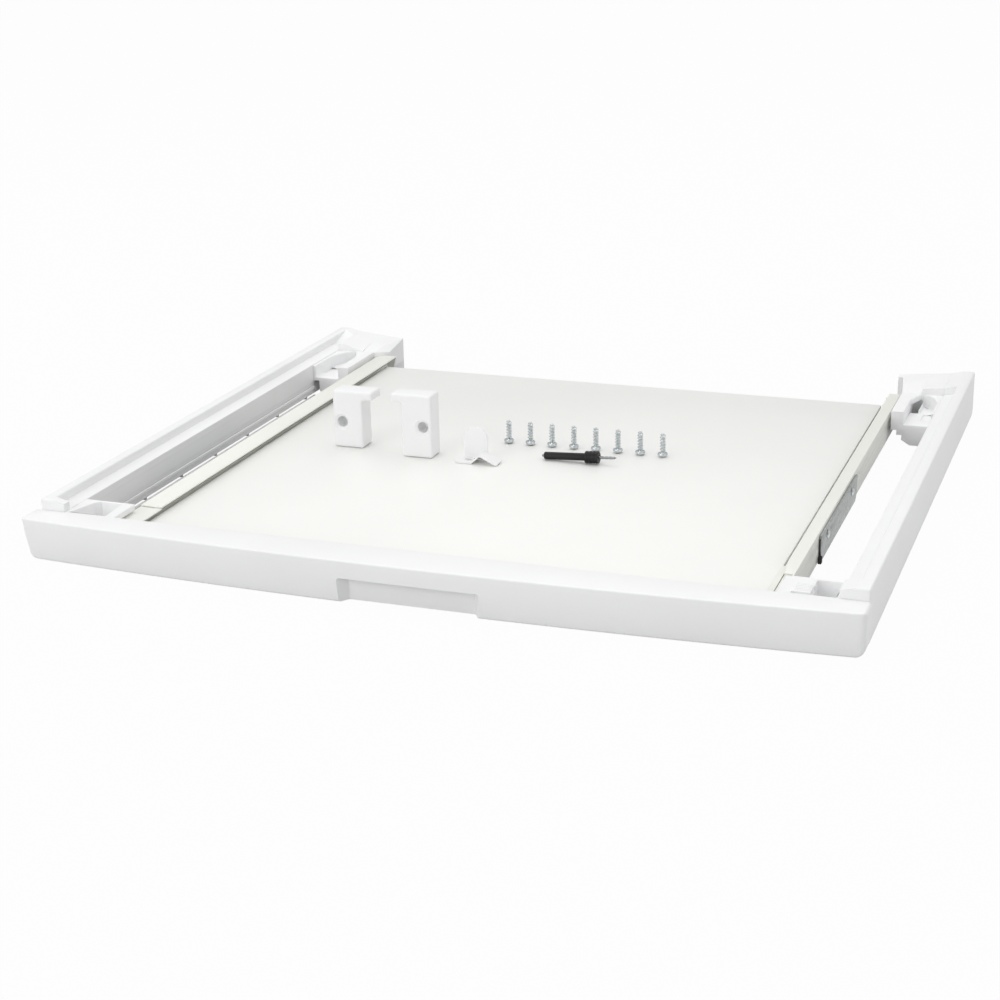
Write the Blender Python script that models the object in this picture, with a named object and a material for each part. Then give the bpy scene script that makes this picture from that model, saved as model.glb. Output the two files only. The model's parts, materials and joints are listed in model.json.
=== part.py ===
"""Stacking kit that joins a dryer to the washer below it, with a pull-out shelf between them.

The frame is a left and a right side rail, four corner blocks with pockets for the dryer's feet,
two steel runners and two cross rails. The shelf, with its bowed fascia, rolls out on four nylon
rollers. Two rear brackets, a clip, a drill and eight screws lie on the shelf.

Metres, +X to the right seen from the front, +Y to the back, +Z up. The origin is the middle of
the footprint, on the surface that the kit rests on.
"""
import bpy
import bmesh
from math import atan2, cos, pi, radians, sin, sqrt
from mathutils import Matrix, Vector

# Overall size
WIDTH = 0.600
DEPTH = 0.558
RAIL_HEIGHT = 0.0384

# Clearances shared by all pieces
GAP = 0.0003
OVERRUN = 0.004
HOLE_CLEARANCE = 0.0003

# Side rails
RAIL_WIDTH = 0.0195
RIDGE_WIDTH = 0.009
LEDGE_OUTER_Z = 0.0318
LEDGE_INNER_Z = 0.0301
RAIL_WALL = 0.0022
RAIL_STEP = 0.0008
RAIL_STEP_Z = 0.0140
RAIL_INNER_FOOT = 0.003
RAIL_HEAD_DEPTH = 0.018
RAIL_HEAD_INNER_Z = 0.0360
RAIL_LEDGE_SETBACK = 0.034
RAIL_BAYS = 9
RAIL_FRONT_RADIUS = 0.003
RAIL_REAR_RADIUS = 0.008

# Fascia of the shelf
FASCIA_DEPTH = 0.0213
FASCIA_BOW = 0.011
FASCIA_TOP = 0.0305
FASCIA_BOTTOM = 0.0003
FASCIA_LEAN = 0.001
FASCIA_EDGE = 0.0010
FASCIA_FOOT_EDGE = 0.0006
FASCIA_CORNER = 0.006
FASCIA_END_EDGE = 0.004
FASCIA_WALL = 0.0025
FASCIA_STATIONS = 24
FASCIA_BAYS_EACH_SIDE = 4
GRIP_WIDTH = 0.102
GRIP_TOP = 0.018
GRIP_DEPTH = 0.008
GRIP_SIDE_SLANT = 0.0055

# Corner blocks at the front
FRONT_BLOCK_WIDTH = 0.040
FRONT_BLOCK_DEPTH = 0.0305
FRONT_BLOCK_TOP = 0.0299
FRONT_POCKET_WIDTH = 0.0165
FRONT_POCKET_WALL = 0.0022
FRONT_POCKET_FLOOR = 0.010
FRONT_STEP_WIDTH = 0.012
FRONT_STEP_DEPTH = 0.016
FRONT_STEP_FLOOR = 0.026

# Corner blocks at the rear
REAR_BLOCK_WIDTH = 0.0345
REAR_BLOCK_DEPTH = 0.107
REAR_BLOCK_TOP = 0.0292
REAR_BLOCK_FOOT = 0.001
REAR_FLOOR = 0.0185
REAR_WALL = 0.0022
REAR_POCKET_WIDTH = 0.0223
REAR_CORNER_RADIUS = 0.007
REAR_NOSE_DEPTH = 0.038
REAR_NOSE_STEPS = ((0.0048, 0.0133), (0.0091, 0.0093), (0.0160, 0.0052))
REAR_NOSE_GAP = 0.0055
REAR_NOSE_GAP_TOP = 0.0155
REAR_NOSE_CORNER = 0.005
REAR_SLOT_WIDTH = 0.0070
REAR_SLOT_SETBACK = 0.036
REAR_SLOT_LENGTH = 0.031
REAR_SLOT_TOP = 0.025
REAR_RIB_WIDTH = 0.0015
REAR_RIB_TOP = 0.0210
REAR_RECESS_WIDTH = 0.0105
REAR_RECESS_SETBACK = 0.0165
REAR_RECESS_LENGTH = 0.0165
REAR_RECESS_FLOOR = 0.0170
PLATFORM_DEPTH = 0.050
PLATFORM_INNER_Z = 0.0312
PLATFORM_RAIL_Z = 0.0355
OVERHANG_DEPTH = 0.027
OVERHANG_WIDTH = 0.0100

# Steel runners fixed to the frame
STEEL = 0.0012
RUNNER_INSET = 0.057
RUNNER_FLANGE = 0.012
RUNNER_BOTTOM = 0.003
RUNNER_HEIGHT = 0.022
RUNNER_FRONT_GAP = 0.001
RUNNER_REAR_GAP = 0.014
TONGUE_LENGTH = 0.030
TONGUE_WIDTH = 0.006

# Steel runners under the shelf
SHELF_FLANGE = 0.020
RUNNING_FLANGE = 0.0064
RUNNING_FLANGE_DROP = 0.0004
SHELF_TAB_HEIGHT = 0.0083
SHELF_TAB_INSET = 0.002

# Shelf panel
PANEL_THICKNESS = 0.008
PANEL_DROP = 0.0052
PANEL_AXLE_GAP = 0.006

# Nylon rollers and their axles
ROLLER_WIDTH = 0.0066
ROLLER_SIDE_GAP = 0.001
ROLLER_EDGE = 0.0006
FRONT_ROLLER_RADIUS = 0.0065
FRONT_AXLE_SETBACK = 0.0414
REAR_ROLLER_STOP_GAP = 0.002
AXLE_RADIUS = 0.0024
AXLE_HEAD_RADIUS = 0.0036
AXLE_HEAD = 0.0010
AXLE_OUTER_HEAD_RADIUS = 0.0040
AXLE_SHOULDER_RADIUS = 0.0038
COUNTERBORE_RADIUS = 0.0042

# Cross rails under the shelf
CROSS_STEEL = 0.0012
CROSS_DEPTH = 0.020
CROSS_LIP_TOP = 0.007
CROSS_LIP_INSET = 0.018
CROSS_END_LAP = 0.0125
FRONT_CROSS_SETBACK = 0.006
REAR_CROSS_SETBACK = 0.019

# Riveted plate and rubber stop outside each fixed runner
PLATE_THICKNESS = 0.0015
PLATE_LENGTH = 0.140
PLATE_HEIGHT = 0.0195
PLATE_SETBACK = 0.1275
PLATE_CHAMFER = 0.006
RIVET_END_OFFSET = 0.0225
RIVET_HEIGHT = 0.0132
RIVET_RADIUS = 0.0018
RIVET_HEAD_RADIUS = 0.0032
RIVET_HEAD = 0.0014
RIVET_INNER_HEAD = 0.0008
STOP_THICKNESS = 0.0030
STOP_WIDTH = 0.0032
STOP_HEIGHT = 0.0172
STOP_BULB = 0.0026
STOP_BULB_HEIGHT = 0.005

# Assembly screws
SCREW_RADIUS = 0.0016
SCREW_HEAD_RADIUS = 0.0030
SCREW_HEAD = 0.0010
SCREW_GRIP = 0.0100
RAIL_SCREW_HEIGHT = 0.0235
FRONT_RAIL_SCREW_SETBACK = 0.015
REAR_RAIL_SCREW_SETBACK = 0.066
RUNNER_SCREW_HEIGHT = 0.0165
FRONT_RUNNER_SCREW_SETBACK = 0.014
REAR_RUNNER_SCREW_SETBACK = 0.064
PANEL_SCREW_BITE = 0.0052
FASCIA_SCREW_BITE = 0.005
BOSS_RADIUS = 0.0045

# Rear brackets that lie on the shelf, left then right
LEFT_BRACKET_PLACE = (-0.159, 0.2595)
RIGHT_BRACKET_PLACE = (-0.0955, 0.2500)
LEFT_BRACKET_HEIGHT = 0.047
RIGHT_BRACKET_HEIGHT = 0.051
BRACKET_WIDTH = 0.0255
BRACKET_DEPTH = 0.019
BRACKET_LIP = 0.009
BRACKET_LIP_THICKNESS = 0.007
BRACKET_HOLE_RADIUS = 0.0045
BRACKET_HOLE_FROM_TOP = 0.026
BRACKET_HOLE_OFFSET = 0.0052
BRACKET_EDGE = 0.002
BRACKET_HOLLOW_WALL = 0.0030
BRACKET_HOLLOW_HEIGHT = 0.013

# Bent clip: a strip that is folded up into a ridge, with an upright plate at its rear edge
CLIP_LEFT_X = -0.0622
CLIP_FOLD_X = -0.0485
CLIP_RIDGE_X = -0.0414
CLIP_RIGHT_X = -0.0264
CLIP_RIDGE_HEIGHT = 0.0064
CLIP_SETBACK = 0.2370
CLIP_DEPTH = 0.0130
CLIP_STEEL = 0.0016
CLIP_TOE = 0.0015
CLIP_TAB_RADIUS = 0.0100
CLIP_TAB_HEIGHT = 0.0273
CLIP_TAB_X = -0.0487
CLIP_HOLE_RADIUS = 0.0034
CLIP_HOLE_PLACE = (-0.0525, 0.2440)

# Drill with its depth sleeve, which lies on its collar and on the far end of the sleeve
DRILL_SETBACK = 0.2654
DRILL_SLEEVE_X = 0.0029
DRILL_SLEEVE_RADIUS = 0.0030
DRILL_SLEEVE_LENGTH = 0.0338
DRILL_COLLAR_RADIUS = 0.0048
DRILL_COLLAR_LENGTH = 0.0110
DRILL_BIT_RADIUS = 0.00115
DRILL_BIT_REACH = 0.0142
DRILL_SHANK_REACH = 0.0020

# Loose screws, standing on their heads
LOOSE_SCREWS = 8
LOOSE_FIRST_PLACE = (-0.0386, 0.2980)
LOOSE_PITCH = 0.01836
LOOSE_HEAD_RADIUS = 0.0040
LOOSE_HEAD = 0.0030
LOOSE_CORE_RADIUS = 0.0014
LOOSE_THREAD_RADIUS = 0.0021
LOOSE_NECK = 0.0008
LOOSE_THREAD_PITCH = 0.0022
LOOSE_THREADS = 6
LOOSE_TIP = 0.0022

# Facets round turned pieces
FINE = 24
ROUND = 16
COARSE = 10
CORNER = 5
SMOOTH_ANGLE = radians(35)

# Places worked out from the sizes above
HALF_WIDTH = WIDTH / 2
REAR_Y = DEPTH / 2
FASCIA_END_Y = FASCIA_BOW - DEPTH / 2
FASCIA_BACK_Y = FASCIA_END_Y + FASCIA_DEPTH
FRAME_FRONT_Y = FASCIA_BACK_Y + GAP
RAIL_INNER_X = HALF_WIDTH - RAIL_WIDTH
RAIL_CAVITY_X = RAIL_INNER_X + RAIL_STEP + RAIL_WALL
BLOCK_OUTER_X = RAIL_INNER_X - GAP
RUNNER_OUTER_X = HALF_WIDTH - RUNNER_INSET
RUNNER_WEB_X = RUNNER_OUTER_X - STEEL
RUNNER_INNER_X = RUNNER_OUTER_X - RUNNER_FLANGE
RUNNER_TOP = RUNNER_BOTTOM + RUNNER_HEIGHT
RUNNER_FRONT_Y = FRAME_FRONT_Y + RUNNER_FRONT_GAP
OVERHANG_FRONT_Y = REAR_Y - OVERHANG_DEPTH
RUNNER_REAR_Y = OVERHANG_FRONT_Y - RUNNER_REAR_GAP
CHANNEL_LOW = RUNNER_BOTTOM + STEEL
CHANNEL_HIGH = RUNNER_TOP - STEEL
SHELF_WEB_X = RUNNER_INNER_X + STEEL
ROLLER_INNER_X = SHELF_WEB_X + ROLLER_SIDE_GAP
ROLLER_OUTER_X = ROLLER_INNER_X + ROLLER_WIDTH
PANEL_HALF_WIDTH = RUNNER_INNER_X - GAP
PANEL_TOP = RUNNER_TOP - PANEL_DROP
PANEL_BOTTOM = PANEL_TOP - PANEL_THICKNESS
SHELF_FLANGE_TOP = PANEL_BOTTOM - GAP
SHELF_FLANGE_BOTTOM = SHELF_FLANGE_TOP - STEEL
RUNNING_TOP = PANEL_TOP - RUNNING_FLANGE_DROP
RUNNING_BOTTOM = RUNNING_TOP - STEEL
FRONT_AXLE_Y = RUNNER_FRONT_Y + FRONT_AXLE_SETBACK
FRONT_AXLE_Z = RUNNING_BOTTOM - GAP - FRONT_ROLLER_RADIUS
REAR_ROLLER_RADIUS = (CHANNEL_HIGH - CHANNEL_LOW) / 2 - GAP
REAR_AXLE_Y = RUNNER_REAR_Y - STEEL - REAR_ROLLER_STOP_GAP - REAR_ROLLER_RADIUS
REAR_AXLE_Z = (CHANNEL_HIGH + CHANNEL_LOW) / 2
PANEL_REAR_Y = REAR_AXLE_Y - PANEL_AXLE_GAP
SHELF_RUNNER_REAR_Y = REAR_AXLE_Y + AXLE_OUTER_HEAD_RADIUS
FRONT_BLOCK_INNER_X = BLOCK_OUTER_X - FRONT_BLOCK_WIDTH
FRONT_BLOCK_REAR_Y = FRAME_FRONT_Y + FRONT_BLOCK_DEPTH
REAR_BLOCK_INNER_X = BLOCK_OUTER_X - REAR_BLOCK_WIDTH
REAR_BLOCK_FRONT_Y = REAR_Y - REAR_BLOCK_DEPTH
PLATFORM_FRONT_Y = REAR_Y - PLATFORM_DEPTH
OVERHANG_INNER_X = REAR_BLOCK_INNER_X - OVERHANG_WIDTH
REAR_POCKET_OUTER_X = BLOCK_OUTER_X - REAR_WALL
REAR_POCKET_INNER_X = REAR_POCKET_OUTER_X - REAR_POCKET_WIDTH
REAR_SLOT_OUTER_X = REAR_POCKET_INNER_X + REAR_SLOT_WIDTH
RAIL_LEDGE_END_Y = REAR_Y - RAIL_LEDGE_SETBACK
CROSS_TOP = RUNNER_BOTTOM - GAP
CROSS_BOTTOM = CROSS_TOP - CROSS_STEEL
CROSS_REACH_X = RUNNER_OUTER_X + CROSS_END_LAP
FRONT_CROSS_Y = FRAME_FRONT_Y + FRONT_CROSS_SETBACK
REAR_CROSS_Y = OVERHANG_FRONT_Y - REAR_CROSS_SETBACK
PLATE_INNER_X = RUNNER_OUTER_X + GAP
PLATE_OUTER_X = PLATE_INNER_X + PLATE_THICKNESS
PLATE_FRONT_Y = RUNNER_FRONT_Y + PLATE_SETBACK
PLATE_REAR_Y = PLATE_FRONT_Y + PLATE_LENGTH
SHELF_SCREW_X = RUNNER_INNER_X - SHELF_FLANGE / 2
HOLE_RADIUS = SCREW_RADIUS + HOLE_CLEARANCE
RIVET_HOLE_RADIUS = RIVET_RADIUS + HOLE_CLEARANCE
AXLE_HOLE_RADIUS = AXLE_RADIUS + HOLE_CLEARANCE
CROSS_SCREW_X = RUNNER_OUTER_X + CROSS_END_LAP / 2
PANEL_SCREW_Y = (FRAME_FRONT_Y + PANEL_REAR_Y) / 2
FASCIA_SCREW_Z = SHELF_FLANGE_BOTTOM - SHELF_TAB_HEIGHT / 2
RIVET_Z = RUNNER_BOTTOM + RIVET_HEIGHT

# Y of what each corner and each end holds
RAIL_SCREW_Y = {"front": FRAME_FRONT_Y + FRONT_RAIL_SCREW_SETBACK, "rear": REAR_Y - REAR_RAIL_SCREW_SETBACK}
RUNNER_SCREW_Y = {"front": RUNNER_FRONT_Y + FRONT_RUNNER_SCREW_SETBACK,
                  "rear": REAR_Y - REAR_RUNNER_SCREW_SETBACK}
CROSS_RAIL_Y = {"front": FRONT_CROSS_Y + CROSS_DEPTH / 2, "rear": REAR_CROSS_Y - CROSS_DEPTH / 2}
RIVET_Y = {"front": PLATE_FRONT_Y + RIVET_END_OFFSET, "rear": PLATE_REAR_Y - RIVET_END_OFFSET}

LEFT, RIGHT = (-1, 1)
SIDE_NAMES = {LEFT: "left", RIGHT: "right"}
X_AXIS, Y_AXIS, Z_AXIS = range(3)


def clear_scene():
    """Remove every object that the file starts with."""
    for item in list(bpy.data.objects):
        bpy.data.objects.remove(item, do_unlink=True)


def material(name, colour, roughness, metallic=0.0):
    """One Principled material."""
    made = bpy.data.materials.new(name)
    made.use_nodes = True
    shader = made.node_tree.nodes["Principled BSDF"]
    shader.inputs["Base Color"].default_value = (*colour, 1.0)
    shader.inputs["Roughness"].default_value = roughness
    shader.inputs["Metallic"].default_value = metallic
    return made


def span(side, near, far):
    """The X range between two distances from the middle, on one side."""
    return tuple(sorted((side * near, side * far)))


def mirrored(side, outline):
    """An outline of (x, z) or (x, y) points, on one side."""
    return [(side * x, other) for x, other in outline]


def prism(bm, outline, axis, low, high):
    """Extrude a closed outline of the two other coordinates along one axis."""
    others = [index for index in range(3) if index != axis]
    rings = []
    for level in (low, high):
        ring = []
        for first, second in outline:
            point = Vector()
            point[axis] = level
            point[others[0]] = first
            point[others[1]] = second
            ring.append(bm.verts.new(point))
        rings.append(ring)
    count = len(outline)
    bm.faces.new(rings[0])
    bm.faces.new(rings[1])
    for start in range(count):
        end = (start + 1) % count
        bm.faces.new((rings[0][start], rings[0][end], rings[1][end], rings[1][start]))


def box(bm, x_range, y_range, z_range):
    """A box between two corners."""
    corners = [(x, y) for x, y in zip(
        (x_range[0], x_range[1], x_range[1], x_range[0]),
        (y_range[0], y_range[0], y_range[1], y_range[1]))]
    prism(bm, corners, Z_AXIS, *z_range)


def turned(bm, profile, centre, axis, segments, direction=1):
    """Turn (radius, along) points round an axis. A radius of zero closes that end."""
    others = [index for index in range(3) if index != axis]
    rings = []
    for radius, along in profile:
        ring = []
        for step in range(segments if radius > 0 else 1):
            angle = 2 * pi * step / segments
            point = Vector(centre)
            point[axis] += direction * along
            point[others[0]] += radius * cos(angle)
            point[others[1]] += radius * sin(angle)
            ring.append(bm.verts.new(point))
        rings.append(ring)
    open_ends = profile[0][0] > 0
    pairs = list(zip(rings, rings[1:]))
    if open_ends:
        pairs.append((rings[-1], rings[0]))
    for first, second in pairs:
        for step in range(segments):
            after = (step + 1) % segments
            loop = [first[step % len(first)], first[after % len(first)],
                    second[after % len(second)], second[step % len(second)]]
            bm.faces.new(list(dict.fromkeys(loop)))


def rod(bm, centre, axis, radius, length, segments=ROUND):
    """A plain round bar from its centre point, both ways along an axis."""
    half = length / 2
    turned(bm, [(0, -half), (radius, -half), (radius, half), (0, half)], centre, axis, segments)


def arc(centre, radius, start, end, steps):
    """Points on an arc, from one angle to another, in degrees."""
    points = []
    for step in range(steps + 1):
        angle = radians(start + (end - start) * step / steps)
        points.append((centre[0] + radius * cos(angle), centre[1] + radius * sin(angle)))
    return points


def add_piece(name, bm, finish, origin=(0, 0, 0), parent=None, smooth=False):
    """Make one named object, with its origin at the given point."""
    bmesh.ops.recalc_face_normals(bm, faces=bm.faces)
    bmesh.ops.translate(bm, verts=bm.verts, vec=-Vector(origin))
    mesh = bpy.data.meshes.new(name)
    bm.to_mesh(mesh)
    bm.free()
    if smooth:
        mesh.shade_smooth()
        mesh.set_sharp_from_angle(angle=SMOOTH_ANGLE)
    piece = bpy.data.objects.new(name, mesh)
    bpy.context.collection.objects.link(piece)
    piece.location = origin
    if finish:
        mesh.materials.append(finish)
    if parent:
        piece.parent = parent
        piece.location = Vector(origin) - parent.location
    return piece


def add_screw(name, place, axis, direction, finish, grip=SCREW_GRIP, parent=None):
    """An assembly screw: its head's inner face is at the place, and its shank runs on from it."""
    profile = [(0, -SCREW_HEAD), (SCREW_HEAD_RADIUS, -SCREW_HEAD), (SCREW_HEAD_RADIUS, 0),
               (SCREW_RADIUS, 0), (SCREW_RADIUS, grip - SCREW_RADIUS), (0, grip)]
    bm = bmesh.new()
    turned(bm, profile, place, axis, COARSE, direction)
    add_piece(name, bm, finish, origin=place, parent=parent)


def combine(piece, bm, operation, label):
    """Cut a shape out of a piece, or join one on, with a hidden guide object."""
    guide = add_piece(piece.name + "_" + label, bm, None)
    guide.hide_render = True
    guide.display_type = "WIRE"
    step = piece.modifiers.new(label, "BOOLEAN")
    step.operation = operation
    step.solver = "EXACT"
    step.object = guide


def cut(piece, bm, label):
    """Cut a shape out of a piece."""
    combine(piece, bm, "DIFFERENCE", label)


def join(piece, bm, label):
    """Join a shape to a piece."""
    combine(piece, bm, "UNION", label)


def bow(x):
    """How far the fascia's front lies ahead of its ends."""
    return FASCIA_BOW * (1 - (x / HALF_WIDTH) ** 2)


def rail_side_outline():
    """The side rail seen from the side, with its rounded lower corners."""
    front = arc((FRAME_FRONT_Y + RAIL_FRONT_RADIUS, RAIL_FRONT_RADIUS), RAIL_FRONT_RADIUS, 180, 270, CORNER)
    rear = arc((REAR_Y - RAIL_REAR_RADIUS, RAIL_REAR_RADIUS), RAIL_REAR_RADIUS, 270, 360, CORNER)
    return [(FRAME_FRONT_Y, RAIL_HEIGHT)] + front + rear + [(REAR_Y, RAIL_HEIGHT)]


def side_hole(bm, side, inner, outer, place, height, radius=HOLE_RADIUS):
    """A round cutter across X between two distances from the middle."""
    centre = (side * (inner + outer) / 2, place, height)
    rod(bm, centre, X_AXIS, radius, outer - inner, COARSE)


def make_side_rail(side, finish):
    """A hollow side rail with a ridge, a ledge for the dryer's edge and ribs underneath."""
    bm = bmesh.new()
    prism(bm, rail_side_outline(), X_AXIS, *span(side, RAIL_INNER_X, HALF_WIDTH))
    rail = add_piece(SIDE_NAMES[side] + "_side_rail", bm, finish)

    ridge_x = HALF_WIDTH - RIDGE_WIDTH
    head_end_y = FRAME_FRONT_Y + RAIL_HEAD_DEPTH
    slope = (LEDGE_OUTER_Z - LEDGE_INNER_Z) / (ridge_x - RAIL_INNER_X)
    bm = bmesh.new()
    ledge = [(ridge_x, LEDGE_OUTER_Z), (RAIL_INNER_X - OVERRUN, LEDGE_INNER_Z - slope * OVERRUN),
             (RAIL_INNER_X - OVERRUN, RAIL_HEIGHT + OVERRUN), (ridge_x, RAIL_HEIGHT + OVERRUN)]
    prism(bm, mirrored(side, ledge), Y_AXIS, head_end_y, RAIL_LEDGE_END_Y)
    cut(rail, bm, "ledge")

    falls = {"head_fall": (RAIL_HEAD_INNER_Z, FRAME_FRONT_Y - OVERRUN, head_end_y + OVERRUN),
             "rear_fall": (PLATFORM_RAIL_Z, RAIL_LEDGE_END_Y - OVERRUN, REAR_Y + OVERRUN)}
    for label, (inner_z, fall_start, fall_end) in falls.items():
        fall = (RAIL_HEIGHT - inner_z) / (ridge_x - RAIL_INNER_X)
        outline = [(ridge_x, RAIL_HEIGHT), (RAIL_INNER_X - OVERRUN, inner_z - fall * OVERRUN),
                   (RAIL_INNER_X - OVERRUN, RAIL_HEIGHT + OVERRUN), (ridge_x, RAIL_HEIGHT + OVERRUN)]
        bm = bmesh.new()
        prism(bm, mirrored(side, outline), Y_AXIS, fall_start, fall_end)
        cut(rail, bm, label)

    bm = bmesh.new()
    step_x = RAIL_INNER_X + RAIL_STEP
    under = [(RAIL_INNER_X - OVERRUN, -OVERRUN), (RAIL_CAVITY_X, -OVERRUN),
             (RAIL_CAVITY_X, RAIL_INNER_FOOT), (step_x, RAIL_INNER_FOOT),
             (step_x, RAIL_STEP_Z), (RAIL_INNER_X - OVERRUN, RAIL_STEP_Z)]
    prism(bm, mirrored(side, under), Y_AXIS, FRAME_FRONT_Y - OVERRUN, REAR_Y + OVERRUN)
    cut(rail, bm, "inner_step")

    bm = bmesh.new()
    room = REAR_Y - FRAME_FRONT_Y - 2 * RAIL_WALL
    bay = (room - (RAIL_BAYS - 1) * RAIL_WALL) / RAIL_BAYS
    for index in range(RAIL_BAYS):
        start = FRAME_FRONT_Y + RAIL_WALL + index * (bay + RAIL_WALL)
        box(bm, span(side, RAIL_CAVITY_X, HALF_WIDTH - RAIL_WALL), (start, start + bay),
            (-OVERRUN, LEDGE_INNER_Z - RAIL_WALL))
    cut(rail, bm, "bays")

    bm = bmesh.new()
    for place in RAIL_SCREW_Y.values():
        side_hole(bm, side, RAIL_INNER_X - OVERRUN, RAIL_CAVITY_X + SCREW_GRIP, place, RAIL_SCREW_HEIGHT)
    cut(rail, bm, "screw_holes")


def make_front_block(side, finish):
    """A front corner block with a pocket for a dryer foot and a shallow step beside it."""
    y_range = (FRAME_FRONT_Y, FRONT_BLOCK_REAR_Y)
    bm = bmesh.new()
    box(bm, span(side, FRONT_BLOCK_INNER_X, BLOCK_OUTER_X), y_range, (0, FRONT_BLOCK_TOP))
    block = add_piece("front_" + SIDE_NAMES[side] + "_corner_block", bm, finish)

    long_range = (FRAME_FRONT_Y - OVERRUN, FRONT_BLOCK_REAR_Y + OVERRUN)
    bm = bmesh.new()
    box(bm, span(side, FRONT_BLOCK_INNER_X - OVERRUN, RUNNER_OUTER_X + GAP), long_range,
        (-OVERRUN, RUNNER_TOP + GAP))
    cut(block, bm, "runner_notch")

    pocket_outer = BLOCK_OUTER_X - FRONT_POCKET_WALL
    pocket_inner = pocket_outer - FRONT_POCKET_WIDTH
    pocket_y = (FRAME_FRONT_Y + FRONT_POCKET_WALL, FRONT_BLOCK_REAR_Y - FRONT_POCKET_WALL)
    bm = bmesh.new()
    box(bm, span(side, pocket_inner, pocket_outer), pocket_y, (FRONT_POCKET_FLOOR, FRONT_BLOCK_TOP + OVERRUN))
    cut(block, bm, "pocket")

    bm = bmesh.new()
    box(bm, span(side, pocket_inner - FRONT_STEP_WIDTH, pocket_inner + FRONT_POCKET_WALL),
        (pocket_y[0], pocket_y[0] + FRONT_STEP_DEPTH), (FRONT_STEP_FLOOR, FRONT_BLOCK_TOP + OVERRUN))
    cut(block, bm, "step")

    bm = bmesh.new()
    side_hole(bm, side, pocket_outer - OVERRUN, BLOCK_OUTER_X + OVERRUN, RAIL_SCREW_Y["front"],
              RAIL_SCREW_HEIGHT)
    side_hole(bm, side, RUNNER_OUTER_X - OVERRUN, RUNNER_OUTER_X + SCREW_GRIP, RUNNER_SCREW_Y["front"],
              RUNNER_SCREW_HEIGHT)
    cut(block, bm, "side_holes")
    cut_cross_rail_room(block, side, "front")


def cut_cross_rail_room(block, side, end):
    """The room under a corner block for the end of a cross rail, and the blind hole for its screw."""
    place = CROSS_RAIL_Y[end]
    reach = CROSS_DEPTH / 2 + GAP
    bm = bmesh.new()
    box(bm, span(side, RUNNER_INNER_X, CROSS_REACH_X + GAP), (place - reach, place + reach),
        (-OVERRUN, RUNNER_BOTTOM))
    cut(block, bm, "cross_notch")

    depth = SCREW_GRIP + OVERRUN
    middle = RUNNER_BOTTOM + SCREW_GRIP - depth / 2
    bm = bmesh.new()
    rod(bm, (side * CROSS_SCREW_X, place, middle), Z_AXIS, HOLE_RADIUS, depth, COARSE)
    cut(block, bm, "cross_hole")


def rear_pocket_outline():
    """Plan of the foot pocket: open at the front, rounded at its inner rear corner."""
    front = REAR_BLOCK_FRONT_Y - OVERRUN
    corner = arc((REAR_POCKET_INNER_X + REAR_CORNER_RADIUS, PLATFORM_FRONT_Y - REAR_CORNER_RADIUS),
                 REAR_CORNER_RADIUS, 90, 180, CORNER)
    return [(REAR_POCKET_OUTER_X, front), (REAR_POCKET_OUTER_X, PLATFORM_FRONT_Y)] + corner + [
        (REAR_POCKET_INNER_X, front)]


def rear_nose_outlines():
    """Outlines of what is left out under the block's front: steps inside, a gap beside the rail."""
    inner = REAR_BLOCK_INNER_X
    steps = [(inner - OVERRUN, -OVERRUN), (inner - OVERRUN, REAR_NOSE_STEPS[0][1])]
    for index, (width, height) in enumerate(REAR_NOSE_STEPS):
        after = REAR_NOSE_STEPS[index + 1][1] if index + 1 < len(REAR_NOSE_STEPS) else REAR_BLOCK_FOOT
        if index + 1 < len(REAR_NOSE_STEPS):
            steps.append((inner + width, height))
        steps.append((inner + width, after))
    steps.append((inner + REAR_NOSE_STEPS[-1][0], -OVERRUN))
    outer = BLOCK_OUTER_X - REAR_NOSE_GAP
    gap = [(BLOCK_OUTER_X + OVERRUN, -OVERRUN), (BLOCK_OUTER_X + OVERRUN, REAR_NOSE_GAP_TOP),
           (outer, REAR_NOSE_GAP_TOP), (outer, REAR_BLOCK_FOOT + REAR_NOSE_CORNER),
           (outer - REAR_NOSE_CORNER, REAR_BLOCK_FOOT), (outer - REAR_NOSE_CORNER, -OVERRUN)]
    return {"nose_steps": steps, "nose_gap": gap}


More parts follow.
